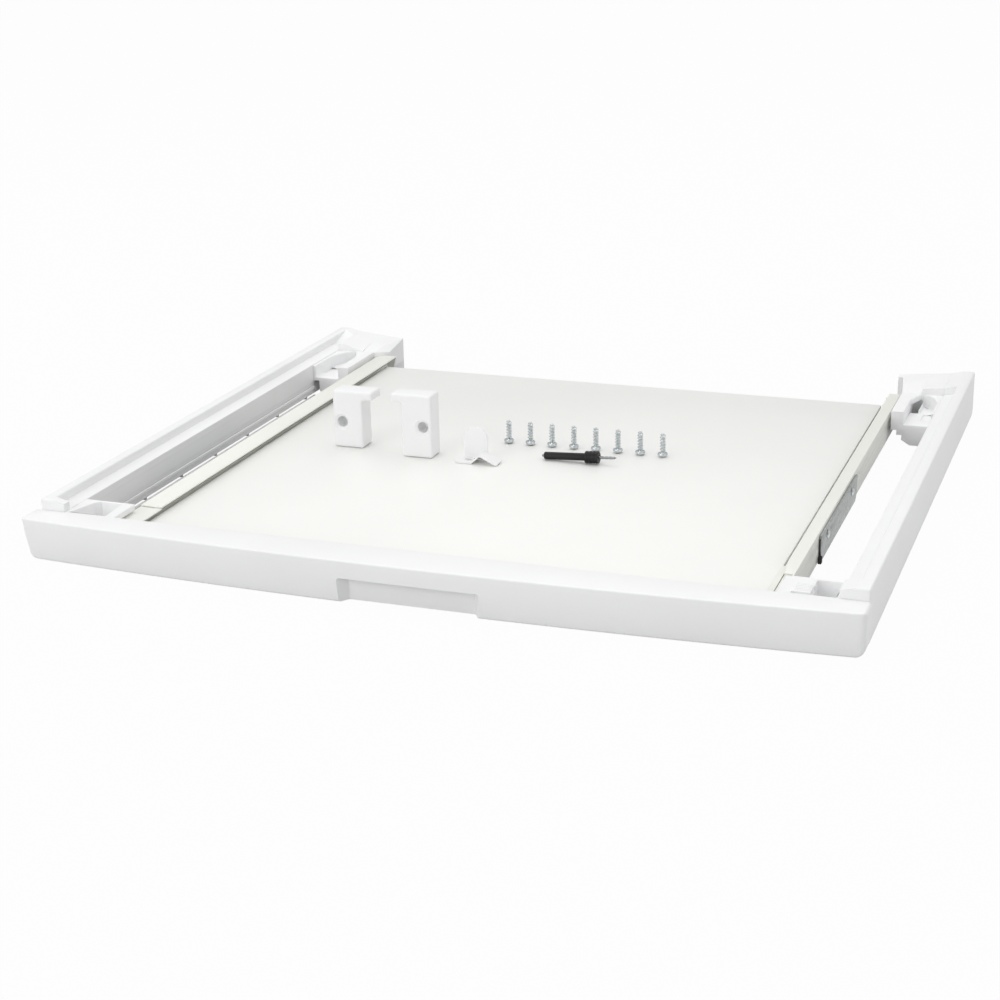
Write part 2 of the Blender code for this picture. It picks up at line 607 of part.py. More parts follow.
def make_rear_block(side, finish):
    """A rear corner block: foot pocket open to the front, raised rear platform, stepped nose and slot."""
    top = PLATFORM_RAIL_Z
    bm = bmesh.new()
    box(bm, span(side, OVERHANG_INNER_X, BLOCK_OUTER_X), (REAR_BLOCK_FRONT_Y, REAR_Y), (REAR_BLOCK_FOOT, top))
    block = add_piece("rear_" + SIDE_NAMES[side] + "_corner_block", bm, finish)

    bm = bmesh.new()
    past = OVERRUN / OVERHANG_DEPTH
    runner_side = [(OVERHANG_INNER_X - OVERRUN, REAR_BLOCK_FRONT_Y - OVERRUN),
                   (REAR_BLOCK_INNER_X, REAR_BLOCK_FRONT_Y - OVERRUN), (REAR_BLOCK_INNER_X, OVERHANG_FRONT_Y),
                   (OVERHANG_INNER_X - past * OVERHANG_WIDTH, REAR_Y + OVERRUN),
                   (OVERHANG_INNER_X - OVERRUN, REAR_Y + OVERRUN)]
    prism(bm, mirrored(side, runner_side), Z_AXIS, -OVERRUN, top + OVERRUN)
    cut(block, bm, "runner_side")

    bm = bmesh.new()
    box(bm, span(side, OVERHANG_INNER_X - OVERRUN, BLOCK_OUTER_X + OVERRUN),
        (REAR_BLOCK_FRONT_Y - OVERRUN, PLATFORM_FRONT_Y), (REAR_BLOCK_TOP, top + OVERRUN))
    cut(block, bm, "low_front")

    bm = bmesh.new()
    fall = (PLATFORM_RAIL_Z - PLATFORM_INNER_Z) / (BLOCK_OUTER_X - OVERHANG_INNER_X)
    slope = [(OVERHANG_INNER_X - OVERRUN, PLATFORM_INNER_Z - fall * OVERRUN),
             (BLOCK_OUTER_X + OVERRUN, PLATFORM_RAIL_Z + fall * OVERRUN),
             (BLOCK_OUTER_X + OVERRUN, top + OVERRUN), (OVERHANG_INNER_X - OVERRUN, top + OVERRUN)]
    prism(bm, mirrored(side, slope), Y_AXIS, PLATFORM_FRONT_Y - OVERRUN, REAR_Y + OVERRUN)
    cut(block, bm, "slope")

    for label, outline in rear_nose_outlines().items():
        bm = bmesh.new()
        prism(bm, mirrored(side, outline), Y_AXIS, REAR_BLOCK_FRONT_Y - OVERRUN,
              REAR_BLOCK_FRONT_Y + REAR_NOSE_DEPTH)
        cut(block, bm, label)

    bm = bmesh.new()
    prism(bm, mirrored(side, rear_pocket_outline()), Z_AXIS, REAR_FLOOR, REAR_BLOCK_TOP + OVERRUN)
    cut(block, bm, "pocket")

    bm = bmesh.new()
    recess_start = REAR_BLOCK_FRONT_Y + REAR_RECESS_SETBACK
    box(bm, span(side, REAR_POCKET_OUTER_X - REAR_RECESS_WIDTH, REAR_POCKET_OUTER_X),
        (recess_start, recess_start + REAR_RECESS_LENGTH), (REAR_RECESS_FLOOR, REAR_FLOOR + OVERRUN))
    cut(block, bm, "recess")

    slot_start = REAR_BLOCK_FRONT_Y + REAR_SLOT_SETBACK
    bm = bmesh.new()
    box(bm, span(side, REAR_SLOT_OUTER_X - REAR_RIB_WIDTH / 2, REAR_SLOT_OUTER_X + REAR_RIB_WIDTH),
        (slot_start, PLATFORM_FRONT_Y + GAP), (REAR_FLOOR - GAP, REAR_RIB_TOP))
    join(block, bm, "rib")

    bm = bmesh.new()
    box(bm, span(side, REAR_POCKET_INNER_X, REAR_SLOT_OUTER_X), (slot_start, slot_start + REAR_SLOT_LENGTH),
        (-OVERRUN, REAR_SLOT_TOP))
    cut(block, bm, "slot")

    bm = bmesh.new()
    boss_length = REAR_BLOCK_INNER_X - PLATE_INNER_X + OVERRUN
    rod(bm, (side * (PLATE_INNER_X + boss_length / 2), RUNNER_SCREW_Y["rear"], RUNNER_SCREW_HEIGHT),
        X_AXIS, BOSS_RADIUS, boss_length, COARSE)
    join(block, bm, "boss")

    bm = bmesh.new()
    side_hole(bm, side, REAR_POCKET_OUTER_X - OVERRUN, BLOCK_OUTER_X + OVERRUN, RAIL_SCREW_Y["rear"],
              RAIL_SCREW_HEIGHT)
    side_hole(bm, side, RUNNER_OUTER_X - OVERRUN, RUNNER_OUTER_X + SCREW_GRIP, RUNNER_SCREW_Y["rear"],
              RUNNER_SCREW_HEIGHT)
    cut(block, bm, "side_holes")
    cut_cross_rail_room(block, side, "rear")


def make_fixed_runner(side, finish):
    """A steel channel that opens towards the shelf, with its rear end closed by a bent tab."""
    bm = bmesh.new()
    box(bm, span(side, RUNNER_INNER_X, RUNNER_OUTER_X), (RUNNER_FRONT_Y, RUNNER_REAR_Y),
        (RUNNER_BOTTOM, RUNNER_TOP))
    runner = add_piece(SIDE_NAMES[side] + "_fixed_runner", bm, finish)

    bm = bmesh.new()
    box(bm, span(side, RUNNER_INNER_X - OVERRUN, RUNNER_WEB_X),
        (RUNNER_FRONT_Y - OVERRUN, RUNNER_REAR_Y - STEEL), (CHANNEL_LOW, CHANNEL_HIGH))
    cut(runner, bm, "channel")

    bm = bmesh.new()
    box(bm, span(side, RUNNER_INNER_X - OVERRUN, RUNNER_OUTER_X - TONGUE_WIDTH),
        (RUNNER_FRONT_Y - OVERRUN, RUNNER_FRONT_Y + TONGUE_LENGTH), (REAR_AXLE_Z, RUNNER_TOP + OVERRUN))
    cut(runner, bm, "tongue")

    bm = bmesh.new()
    inner = RUNNER_WEB_X - OVERRUN
    outer = RUNNER_OUTER_X + OVERRUN
    for place in RUNNER_SCREW_Y.values():
        side_hole(bm, side, inner, outer, place, RUNNER_SCREW_HEIGHT)
    for place in RIVET_Y.values():
        side_hole(bm, side, inner, outer, place, RIVET_Z, RIVET_HOLE_RADIUS)
    side_hole(bm, side, inner, outer, FRONT_AXLE_Y, FRONT_AXLE_Z, AXLE_HOLE_RADIUS)
    cut(runner, bm, "holes")


def make_runner_plate(side, finish):
    """The galvanised plate riveted to the outside of a fixed runner."""
    low = RUNNER_BOTTOM
    high = RUNNER_BOTTOM + PLATE_HEIGHT
    outline = [(PLATE_FRONT_Y, low), (PLATE_REAR_Y - PLATE_CHAMFER, low), (PLATE_REAR_Y, low + PLATE_CHAMFER),
               (PLATE_REAR_Y, high), (PLATE_FRONT_Y, high)]
    bm = bmesh.new()
    prism(bm, outline, X_AXIS, *span(side, PLATE_INNER_X, PLATE_OUTER_X))
    plate = add_piece(SIDE_NAMES[side] + "_runner_plate", bm, finish)

    bm = bmesh.new()
    for place in RIVET_Y.values():
        side_hole(bm, side, PLATE_INNER_X - OVERRUN, PLATE_OUTER_X + OVERRUN, place, RIVET_Z,
                  RIVET_HOLE_RADIUS)
    cut(plate, bm, "rivet_holes")


def make_plate_rivet(side, end, finish):
    """A rivet through a plate and its runner."""
    inner = RUNNER_WEB_X - GAP
    outer = PLATE_OUTER_X + GAP
    profile = [(0, inner - RIVET_INNER_HEAD), (RIVET_HEAD_RADIUS, inner - RIVET_INNER_HEAD),
               (RIVET_HEAD_RADIUS, inner), (RIVET_RADIUS, inner), (RIVET_RADIUS, outer),
               (RIVET_HEAD_RADIUS, outer), (RIVET_HEAD_RADIUS / sqrt(2), outer + RIVET_HEAD / sqrt(2)),
               (0, outer + RIVET_HEAD)]
    bm = bmesh.new()
    turned(bm, profile, (0, RIVET_Y[end], RIVET_Z), X_AXIS, COARSE, side)
    add_piece(SIDE_NAMES[side] + "_" + end + "_plate_rivet", bm, finish, smooth=True)


def make_rubber_stop(side, finish):
    """The rubber stop at the front edge of a runner plate, thicker at its foot."""
    rear = PLATE_FRONT_Y - GAP
    front = rear - STOP_THICKNESS
    low = RUNNER_BOTTOM
    outline = [(rear, low), (rear, low + STOP_HEIGHT), (front, low + STOP_HEIGHT),
               (front, low + STOP_BULB_HEIGHT), (front - STOP_BULB, low + STOP_BULB_HEIGHT / 2),
               (front, low)]
    bm = bmesh.new()
    prism(bm, outline, X_AXIS, *span(side, PLATE_INNER_X, PLATE_INNER_X + STOP_WIDTH))
    add_piece(SIDE_NAMES[side] + "_rubber_stop", bm, finish)


def make_cross_rail(end, finish):
    """A shallow steel channel that ties the left and right corner blocks together."""
    middle = CROSS_RAIL_Y[end]
    front = middle - CROSS_DEPTH / 2
    rear = middle + CROSS_DEPTH / 2
    lip_x = RUNNER_INNER_X - CROSS_LIP_INSET
    bm = bmesh.new()
    box(bm, (-CROSS_REACH_X, CROSS_REACH_X), (front, rear), (CROSS_BOTTOM, CROSS_LIP_TOP))
    rail = add_piece(end + "_cross_rail", bm, finish)

    bm = bmesh.new()
    box(bm, (-CROSS_REACH_X - OVERRUN, CROSS_REACH_X + OVERRUN), (front + CROSS_STEEL, rear - CROSS_STEEL),
        (CROSS_TOP, CROSS_LIP_TOP + OVERRUN))
    cut(rail, bm, "channel")

    bm = bmesh.new()
    for side in (LEFT, RIGHT):
        box(bm, span(side, lip_x, CROSS_REACH_X + OVERRUN), (front - OVERRUN, rear + OVERRUN),
            (CROSS_TOP, CROSS_LIP_TOP + OVERRUN))
    cut(rail, bm, "flat_ends")

    bm = bmesh.new()
    for side in (LEFT, RIGHT):
        rod(bm, (side * CROSS_SCREW_X, middle, CROSS_BOTTOM), Z_AXIS, HOLE_RADIUS, 2 * OVERRUN, COARSE)
    cut(rail, bm, "screw_holes")


def make_axle(name, profile, centre, side, finish, parent=None):
    """A riveted axle, turned along X."""
    bm = bmesh.new()
    turned(bm, profile, centre, X_AXIS, ROUND, side)
    add_piece(name, bm, finish, origin=(0, centre[1], centre[2]), parent=parent, smooth=True)


def make_front_axle(side, finish):
    """The axle that carries a front roller on its fixed runner."""
    head_in = ROLLER_INNER_X + GAP
    shoulder_out = RUNNER_WEB_X - GAP
    outer = RUNNER_OUTER_X + GAP
    profile = [(0, head_in), (AXLE_HEAD_RADIUS, head_in), (AXLE_HEAD_RADIUS, head_in + AXLE_HEAD),
               (AXLE_RADIUS, head_in + AXLE_HEAD), (AXLE_RADIUS, ROLLER_OUTER_X + GAP),
               (AXLE_SHOULDER_RADIUS, ROLLER_OUTER_X + GAP), (AXLE_SHOULDER_RADIUS, shoulder_out),
               (AXLE_RADIUS, shoulder_out), (AXLE_RADIUS, outer), (AXLE_OUTER_HEAD_RADIUS, outer),
               (AXLE_OUTER_HEAD_RADIUS, outer + AXLE_HEAD), (0, outer + AXLE_HEAD)]
    make_axle(SIDE_NAMES[side] + "_front_axle", profile, (0, FRONT_AXLE_Y, FRONT_AXLE_Z), side, finish)


def make_rear_axle(side, finish, parent):
    """The axle that carries a rear roller on its shelf runner."""
    head_out = ROLLER_OUTER_X - GAP
    inner = RUNNER_INNER_X - GAP
    profile = [(0, inner - AXLE_HEAD), (AXLE_OUTER_HEAD_RADIUS, inner - AXLE_HEAD),
               (AXLE_OUTER_HEAD_RADIUS, inner), (AXLE_RADIUS, inner),
               (AXLE_RADIUS, head_out - AXLE_HEAD), (AXLE_HEAD_RADIUS, head_out - AXLE_HEAD),
               (AXLE_HEAD_RADIUS, head_out), (0, head_out)]
    make_axle(SIDE_NAMES[side] + "_rear_axle", profile, (0, REAR_AXLE_Y, REAR_AXLE_Z), side, finish, parent)


def make_roller(name, radius, counterbore_inside, centre, side, finish, parent=None):
    """A nylon roller with a bore and a counterbore that hides its axle's head."""
    pocket = 2 * GAP + AXLE_HEAD
    bore = AXLE_RADIUS + HOLE_CLEARANCE
    low = ROLLER_INNER_X
    high = ROLLER_OUTER_X
    rim = [(radius - ROLLER_EDGE, low), (radius, low + ROLLER_EDGE), (radius, high - ROLLER_EDGE),
           (radius - ROLLER_EDGE, high)]
    if counterbore_inside:
        inside = [(bore, high), (bore, low + pocket), (COUNTERBORE_RADIUS, low + pocket),
                  (COUNTERBORE_RADIUS, low)]
    else:
        inside = [(COUNTERBORE_RADIUS, high), (COUNTERBORE_RADIUS, high - pocket),
                  (bore, high - pocket), (bore, low)]
    bm = bmesh.new()
    turned(bm, rim + inside, (0, centre[0], centre[1]), X_AXIS, FINE, side)
    origin = (side * (low + high) / 2, centre[0], centre[1])
    add_piece(name, bm, finish, origin=origin, parent=parent, smooth=True)


def make_shelf_runner(side, finish, parent):
    """A steel runner that carries one edge of the panel, with its running flange outside."""
    inner = RUNNER_INNER_X - SHELF_FLANGE
    outer = SHELF_WEB_X + RUNNING_FLANGE
    outline = [(inner, SHELF_FLANGE_BOTTOM), (inner, SHELF_FLANGE_TOP), (RUNNER_INNER_X, SHELF_FLANGE_TOP),
               (RUNNER_INNER_X, RUNNING_TOP), (outer, RUNNING_TOP), (outer, RUNNING_BOTTOM),
               (SHELF_WEB_X, RUNNING_BOTTOM), (SHELF_WEB_X, SHELF_FLANGE_BOTTOM)]
    bm = bmesh.new()
    prism(bm, mirrored(side, outline), Y_AXIS, FRAME_FRONT_Y, SHELF_RUNNER_REAR_Y)
    runner = add_piece(SIDE_NAMES[side] + "_shelf_runner", bm, finish, parent=parent)

    bm = bmesh.new()
    clear_y = REAR_AXLE_Y - REAR_ROLLER_RADIUS - ROLLER_SIDE_GAP
    box(bm, span(side, SHELF_WEB_X, outer + OVERRUN), (clear_y, SHELF_RUNNER_REAR_Y + OVERRUN),
        (RUNNING_BOTTOM - OVERRUN, RUNNING_TOP + OVERRUN))
    cut(runner, bm, "roller_room")

    bm = bmesh.new()
    box(bm, span(side, inner - OVERRUN, RUNNER_INNER_X), (PANEL_REAR_Y, SHELF_RUNNER_REAR_Y + OVERRUN),
        (SHELF_FLANGE_BOTTOM - OVERRUN, SHELF_FLANGE_TOP + OVERRUN))
    cut(runner, bm, "axle_room")

    bm = bmesh.new()
    box(bm, span(side, inner + SHELF_TAB_INSET, RUNNER_INNER_X - SHELF_TAB_INSET),
        (FRAME_FRONT_Y, FRAME_FRONT_Y + STEEL),
        (SHELF_FLANGE_BOTTOM - SHELF_TAB_HEIGHT, SHELF_FLANGE_BOTTOM + STEEL / 2))
    join(runner, bm, "front_tab")

    bm = bmesh.new()
    screw_x = side * SHELF_SCREW_X
    rod(bm, (screw_x, PANEL_SCREW_Y, SHELF_FLANGE_BOTTOM), Z_AXIS, HOLE_RADIUS, 2 * OVERRUN, COARSE)
    rod(bm, (screw_x, FRAME_FRONT_Y, FASCIA_SCREW_Z), Y_AXIS, HOLE_RADIUS, OVERRUN, COARSE)
    rod(bm, (side * SHELF_WEB_X, REAR_AXLE_Y, REAR_AXLE_Z), X_AXIS, AXLE_HOLE_RADIUS, 2 * OVERRUN, COARSE)
    cut(runner, bm, "holes")


def make_panel(finish, parent):
    """The white shelf panel, with blind screw holes underneath."""
    bm = bmesh.new()
    box(bm, (-PANEL_HALF_WIDTH, PANEL_HALF_WIDTH), (FRAME_FRONT_Y, PANEL_REAR_Y), (PANEL_BOTTOM, PANEL_TOP))
    panel = add_piece("shelf_panel", bm, finish, parent=parent)

    depth = PANEL_SCREW_BITE + GAP
    middle = PANEL_BOTTOM + (depth - OVERRUN) / 2
    bm = bmesh.new()
    for side in (LEFT, RIGHT):
        rod(bm, (side * SHELF_SCREW_X, PANEL_SCREW_Y, middle), Z_AXIS, HOLE_RADIUS, depth + OVERRUN, COARSE)
    cut(panel, bm, "screw_holes")


def fascia_section(x):
    """The fascia's outline at one X, as (y, z) points: top, front face and foot."""
    front = FASCIA_END_Y - bow(x)
    foot = front + FASCIA_LEAN
    return [(FASCIA_BACK_Y, FASCIA_BOTTOM), (FASCIA_BACK_Y, FASCIA_TOP), (front + FASCIA_EDGE, FASCIA_TOP),
            (front, FASCIA_TOP - FASCIA_EDGE), (foot, FASCIA_BOTTOM + FASCIA_FOOT_EDGE),
            (foot + FASCIA_FOOT_EDGE, FASCIA_BOTTOM)]


def make_fascia(finish, parent):
    """The bowed fascia, a shell with ribs that is open underneath, with a grip recess."""
    bm = bmesh.new()
    rings = []
    for station in range(FASCIA_STATIONS + 1):
        x = WIDTH * station / FASCIA_STATIONS - HALF_WIDTH
        rings.append([bm.verts.new((x, y, z)) for y, z in fascia_section(x)])
    for first, second in zip(rings, rings[1:]):
        for start in range(len(first)):
            end = (start + 1) % len(first)
            bm.faces.new((first[start], first[end], second[end], second[start]))
    bm.faces.new(rings[0])
    bm.faces.new(rings[-1])
    fascia = add_piece("fascia", bm, finish, parent=parent)

    back = FASCIA_BACK_Y - FASCIA_WALL
    roof = FASCIA_TOP - FASCIA_WALL
    bm = bmesh.new()
    half_grip = GRIP_WIDTH / 2
    first_bay = half_grip + FASCIA_WALL
    bay_step = (HALF_WIDTH - FASCIA_CORNER - first_bay) / FASCIA_BAYS_EACH_SIDE
    for side in (LEFT, RIGHT):
        for index in range(FASCIA_BAYS_EACH_SIDE):
            near = first_bay + index * bay_step
            far = near + bay_step - FASCIA_WALL
            fronts = [FASCIA_END_Y - bow(x) + FASCIA_LEAN + FASCIA_WALL for x in (near, far)]
            plan = [(near, fronts[0]), (far, fronts[1]), (far, back), (near, back)]
            prism(bm, mirrored(side, plan), Z_AXIS, -OVERRUN, roof)
    behind_grip = FASCIA_END_Y - bow(half_grip) + GRIP_DEPTH + FASCIA_WALL
    for side in (LEFT, RIGHT):
        box(bm, span(side, FASCIA_WALL / 2, half_grip), (behind_grip, back), (-OVERRUN, roof))
    cut(fascia, bm, "bays")

    bm = bmesh.new()
    low_z = FASCIA_BOTTOM
    turn_x = HALF_WIDTH - FASCIA_CORNER
    corner = arc((turn_x, low_z + FASCIA_CORNER), FASCIA_CORNER, 270, 360, CORNER)
    past_x = HALF_WIDTH + OVERRUN
    outline = corner + [(past_x, low_z + FASCIA_CORNER), (past_x, low_z - OVERRUN), (turn_x, low_z - OVERRUN)]
    for side in (LEFT, RIGHT):
        prism(bm, mirrored(side, outline), Y_AXIS, -DEPTH / 2 - OVERRUN, FASCIA_BACK_Y + OVERRUN)
    cut(fascia, bm, "lower_corners")

    bm = bmesh.new()
    turn_x = HALF_WIDTH - FASCIA_END_EDGE
    front_y = FASCIA_END_Y - bow(turn_x)
    edge = arc((turn_x, front_y + FASCIA_END_EDGE), FASCIA_END_EDGE, 270, 360, CORNER)
    before_y = front_y - OVERRUN
    outline = edge + [(past_x, front_y + FASCIA_END_EDGE), (past_x, before_y), (turn_x, before_y)]
    for side in (LEFT, RIGHT):
        prism(bm, mirrored(side, outline), Z_AXIS, -OVERRUN, FASCIA_TOP + OVERRUN)
    cut(fascia, bm, "end_edges")

    bm = bmesh.new()
    grip_back = FASCIA_END_Y - bow(0) + GRIP_DEPTH
    grip_front = FASCIA_END_Y - bow(0) - OVERRUN
    flare = GRIP_SIDE_SLANT * (grip_back - grip_front) / GRIP_DEPTH
    mouth = half_grip + flare - GRIP_SIDE_SLANT
    rear = half_grip - GRIP_SIDE_SLANT
    plan = [(-mouth, grip_front), (mouth, grip_front), (rear, grip_back), (-rear, grip_back)]
    prism(bm, plan, Z_AXIS, -OVERRUN, GRIP_TOP)
    cut(fascia, bm, "grip")

    bm = bmesh.new()
    for side in (LEFT, RIGHT):
        place = (side * SHELF_SCREW_X, FASCIA_BACK_Y, FASCIA_SCREW_Z)
        rod(bm, place, Y_AXIS, HOLE_RADIUS, 2 * OVERRUN, COARSE)
    cut(fascia, bm, "screw_holes")


def make_frame_screws(side, end, finish):
    """The screws of one corner: rail to block, runner to block and cross rail to block."""
    corner = SIDE_NAMES[side] + "_" + end
    wall = FRONT_POCKET_WALL if end == "front" else REAR_WALL
    rail_place = (side * (BLOCK_OUTER_X - wall - GAP), RAIL_SCREW_Y[end], RAIL_SCREW_HEIGHT)
    add_screw(corner + "_rail_screw", rail_place, X_AXIS, side, finish)
    runner_place = (side * (RUNNER_WEB_X - GAP), RUNNER_SCREW_Y[end], RUNNER_SCREW_HEIGHT)
    add_screw(corner + "_runner_screw", runner_place, X_AXIS, side, finish)
    cross_place = (side * CROSS_SCREW_X, CROSS_RAIL_Y[end], CROSS_BOTTOM - GAP)
    add_screw(corner + "_cross_rail_screw", cross_place, Z_AXIS, 1, finish)


def make_shelf_screws(side, finish, parent):
    """The screws that hold a shelf runner to the panel and to the fascia."""
    lap = STEEL + 2 * GAP
    panel_place = (side * SHELF_SCREW_X, PANEL_SCREW_Y, SHELF_FLANGE_BOTTOM - GAP)
    add_screw(SIDE_NAMES[side] + "_panel_screw", panel_place, Z_AXIS, 1, finish, lap + PANEL_SCREW_BITE,
              parent)
    fascia_place = (side * SHELF_SCREW_X, FRAME_FRONT_Y + STEEL + GAP, FASCIA_SCREW_Z)
    add_screw(SIDE_NAMES[side] + "_fascia_screw", fascia_place, Y_AXIS, -1, finish,
              lap + FASCIA_SCREW_BITE, parent)


def make_rear_bracket(side, place, height, finish, parent):
    """A rear bracket: an upright block with a lip at its top, a screw hole and a hollow foot."""
    x = place[0]
    y = FASCIA_END_Y + place[1]
    low = PANEL_TOP + GAP
    front = y - BRACKET_DEPTH / 2
    rear = y + BRACKET_DEPTH / 2
    near = -side * BRACKET_WIDTH / 2
    far = side * BRACKET_WIDTH / 2
    lip_z = low + height - BRACKET_LIP_THICKNESS
    outline = [(x + far, low), (x + far, low + height), (x + near - side * BRACKET_LIP, low + height),
               (x + near - side * BRACKET_LIP, lip_z), (x + near, lip_z), (x + near, low)]
    bm = bmesh.new()
    prism(bm, outline, Y_AXIS, front, rear)
    bracket = add_piece(SIDE_NAMES[side] + "_rear_bracket", bm, finish, origin=(x, y, low), parent=parent)
    edge = bracket.modifiers.new("edge", "BEVEL")
    edge.width = BRACKET_EDGE
    edge.segments = 2

    bm = bmesh.new()
    hole_place = (x + side * BRACKET_HOLE_OFFSET, y, low + height - BRACKET_HOLE_FROM_TOP)
    rod(bm, hole_place, Y_AXIS, BRACKET_HOLE_RADIUS, BRACKET_DEPTH + 2 * OVERRUN)
    cut(bracket, bm, "screw_hole")

    bm = bmesh.new()
    room = BRACKET_WIDTH / 2 - BRACKET_HOLLOW_WALL
    box(bm, (x - room, x + room), (front + BRACKET_HOLLOW_WALL, rear - BRACKET_HOLLOW_WALL),
        (low - OVERRUN, low + BRACKET_HOLLOW_HEIGHT))
    cut(bracket, bm, "hollow_foot")


def make_clip(finish, parent):
    """A bent clip: a strip with a hole and a folded ridge, and an upright plate with a round top."""
    front = FASCIA_END_Y + CLIP_SETBACK
    rear = front + CLIP_DEPTH
    low = PANEL_TOP + GAP
    place = (CLIP_TAB_X, front + CLIP_DEPTH / 2, low)
    outline = [(CLIP_LEFT_X, low), (CLIP_FOLD_X, low), (CLIP_RIDGE_X, low + CLIP_RIDGE_HEIGHT),
               (CLIP_RIGHT_X - CLIP_TOE, low), (CLIP_RIGHT_X, low + CLIP_TOE),
               (CLIP_RIDGE_X, low + CLIP_RIDGE_HEIGHT + CLIP_STEEL), (CLIP_FOLD_X, low + CLIP_STEEL),
               (CLIP_LEFT_X, low + CLIP_STEEL)]
    bm = bmesh.new()
    prism(bm, outline, Y_AXIS, front, rear)
    clip = add_piece("safety_clip", bm, finish, origin=place, parent=parent)

    crown = arc((CLIP_TAB_X, low + CLIP_TAB_HEIGHT - CLIP_TAB_RADIUS), CLIP_TAB_RADIUS, 0, 180, 2 * CORNER)
    outline = [(CLIP_TAB_X - CLIP_TAB_RADIUS, low + CLIP_STEEL / 2),
               (CLIP_TAB_X + CLIP_TAB_RADIUS, low + CLIP_STEEL / 2)] + crown
    bm = bmesh.new()
    prism(bm, outline, Y_AXIS, rear - CLIP_STEEL, rear)
    join(clip, bm, "tab")

    bm = bmesh.new()
    hole_place = (CLIP_HOLE_PLACE[0], FASCIA_END_Y + CLIP_HOLE_PLACE[1], low)
    rod(bm, hole_place, Z_AXIS, CLIP_HOLE_RADIUS, 2 * OVERRUN)
    cut(clip, bm, "hole")


def make_drill(sleeve_finish, bit_finish, parent):
    """A drill bit inside a sleeve with a wider depth collar, lying along X and a little tilted."""
    tilt = atan2(DRILL_COLLAR_RADIUS - DRILL_SLEEVE_RADIUS, DRILL_SLEEVE_LENGTH)
    place = (DRILL_SLEEVE_X + DRILL_SLEEVE_LENGTH, FASCIA_END_Y + DRILL_SETBACK,
             PANEL_TOP + GAP + DRILL_COLLAR_RADIUS * cos(tilt))
    turn = Matrix.Rotation(-tilt, 3, "Y")
    bore = DRILL_BIT_RADIUS + HOLE_CLEARANCE
    start = -DRILL_SLEEVE_LENGTH
    sleeve = [(bore, start), (DRILL_SLEEVE_RADIUS, start), (DRILL_SLEEVE_RADIUS, 0), (DRILL_COLLAR_RADIUS, 0),
              (DRILL_COLLAR_RADIUS, DRILL_COLLAR_LENGTH), (bore, DRILL_COLLAR_LENGTH)]
    shank = start - DRILL_SHANK_REACH
    tip = DRILL_COLLAR_LENGTH + DRILL_BIT_REACH
    bit = [(0, shank), (DRILL_BIT_RADIUS, shank), (DRILL_BIT_RADIUS, tip - 2 * DRILL_BIT_RADIUS), (0, tip)]
    for name, profile, finish, segments in (("drill_sleeve", sleeve, sleeve_finish, ROUND),
                                            ("drill_bit", bit, bit_finish, COARSE)):
        bm = bmesh.new()
        turned(bm, profile, place, X_AXIS, segments)
        bmesh.ops.rotate(bm, verts=bm.verts, cent=place, matrix=turn)
        add_piece(name, bm, finish, origin=place, parent=parent, smooth=True)


def make_loose_screw(index, finish, parent):
    """One of the pan head screws that stand on their heads in a row."""
    low = PANEL_TOP + GAP
    start = LOOSE_HEAD + LOOSE_NECK
    profile = [(0, 0), (LOOSE_HEAD_RADIUS, 0), (LOOSE_HEAD_RADIUS, LOOSE_HEAD),
               (LOOSE_CORE_RADIUS, LOOSE_HEAD), (LOOSE_CORE_RADIUS, start)]
    for turn in range(LOOSE_THREADS):
        height = start + turn * LOOSE_THREAD_PITCH
        profile.append((LOOSE_THREAD_RADIUS, height + LOOSE_THREAD_PITCH / 2))
        profile.append((LOOSE_CORE_RADIUS, height + LOOSE_THREAD_PITCH))
    profile.append((0, start + LOOSE_THREADS * LOOSE_THREAD_PITCH + LOOSE_TIP))
    place = (LOOSE_FIRST_PLACE[0] + index * LOOSE_PITCH, FASCIA_END_Y + LOOSE_FIRST_PLACE[1], low)
    bm = bmesh.new()
    turned(bm, profile, place, Z_AXIS, COARSE)
    add_piece("loose_screw_" + str(index + 1), bm, finish, origin=place, parent=parent)


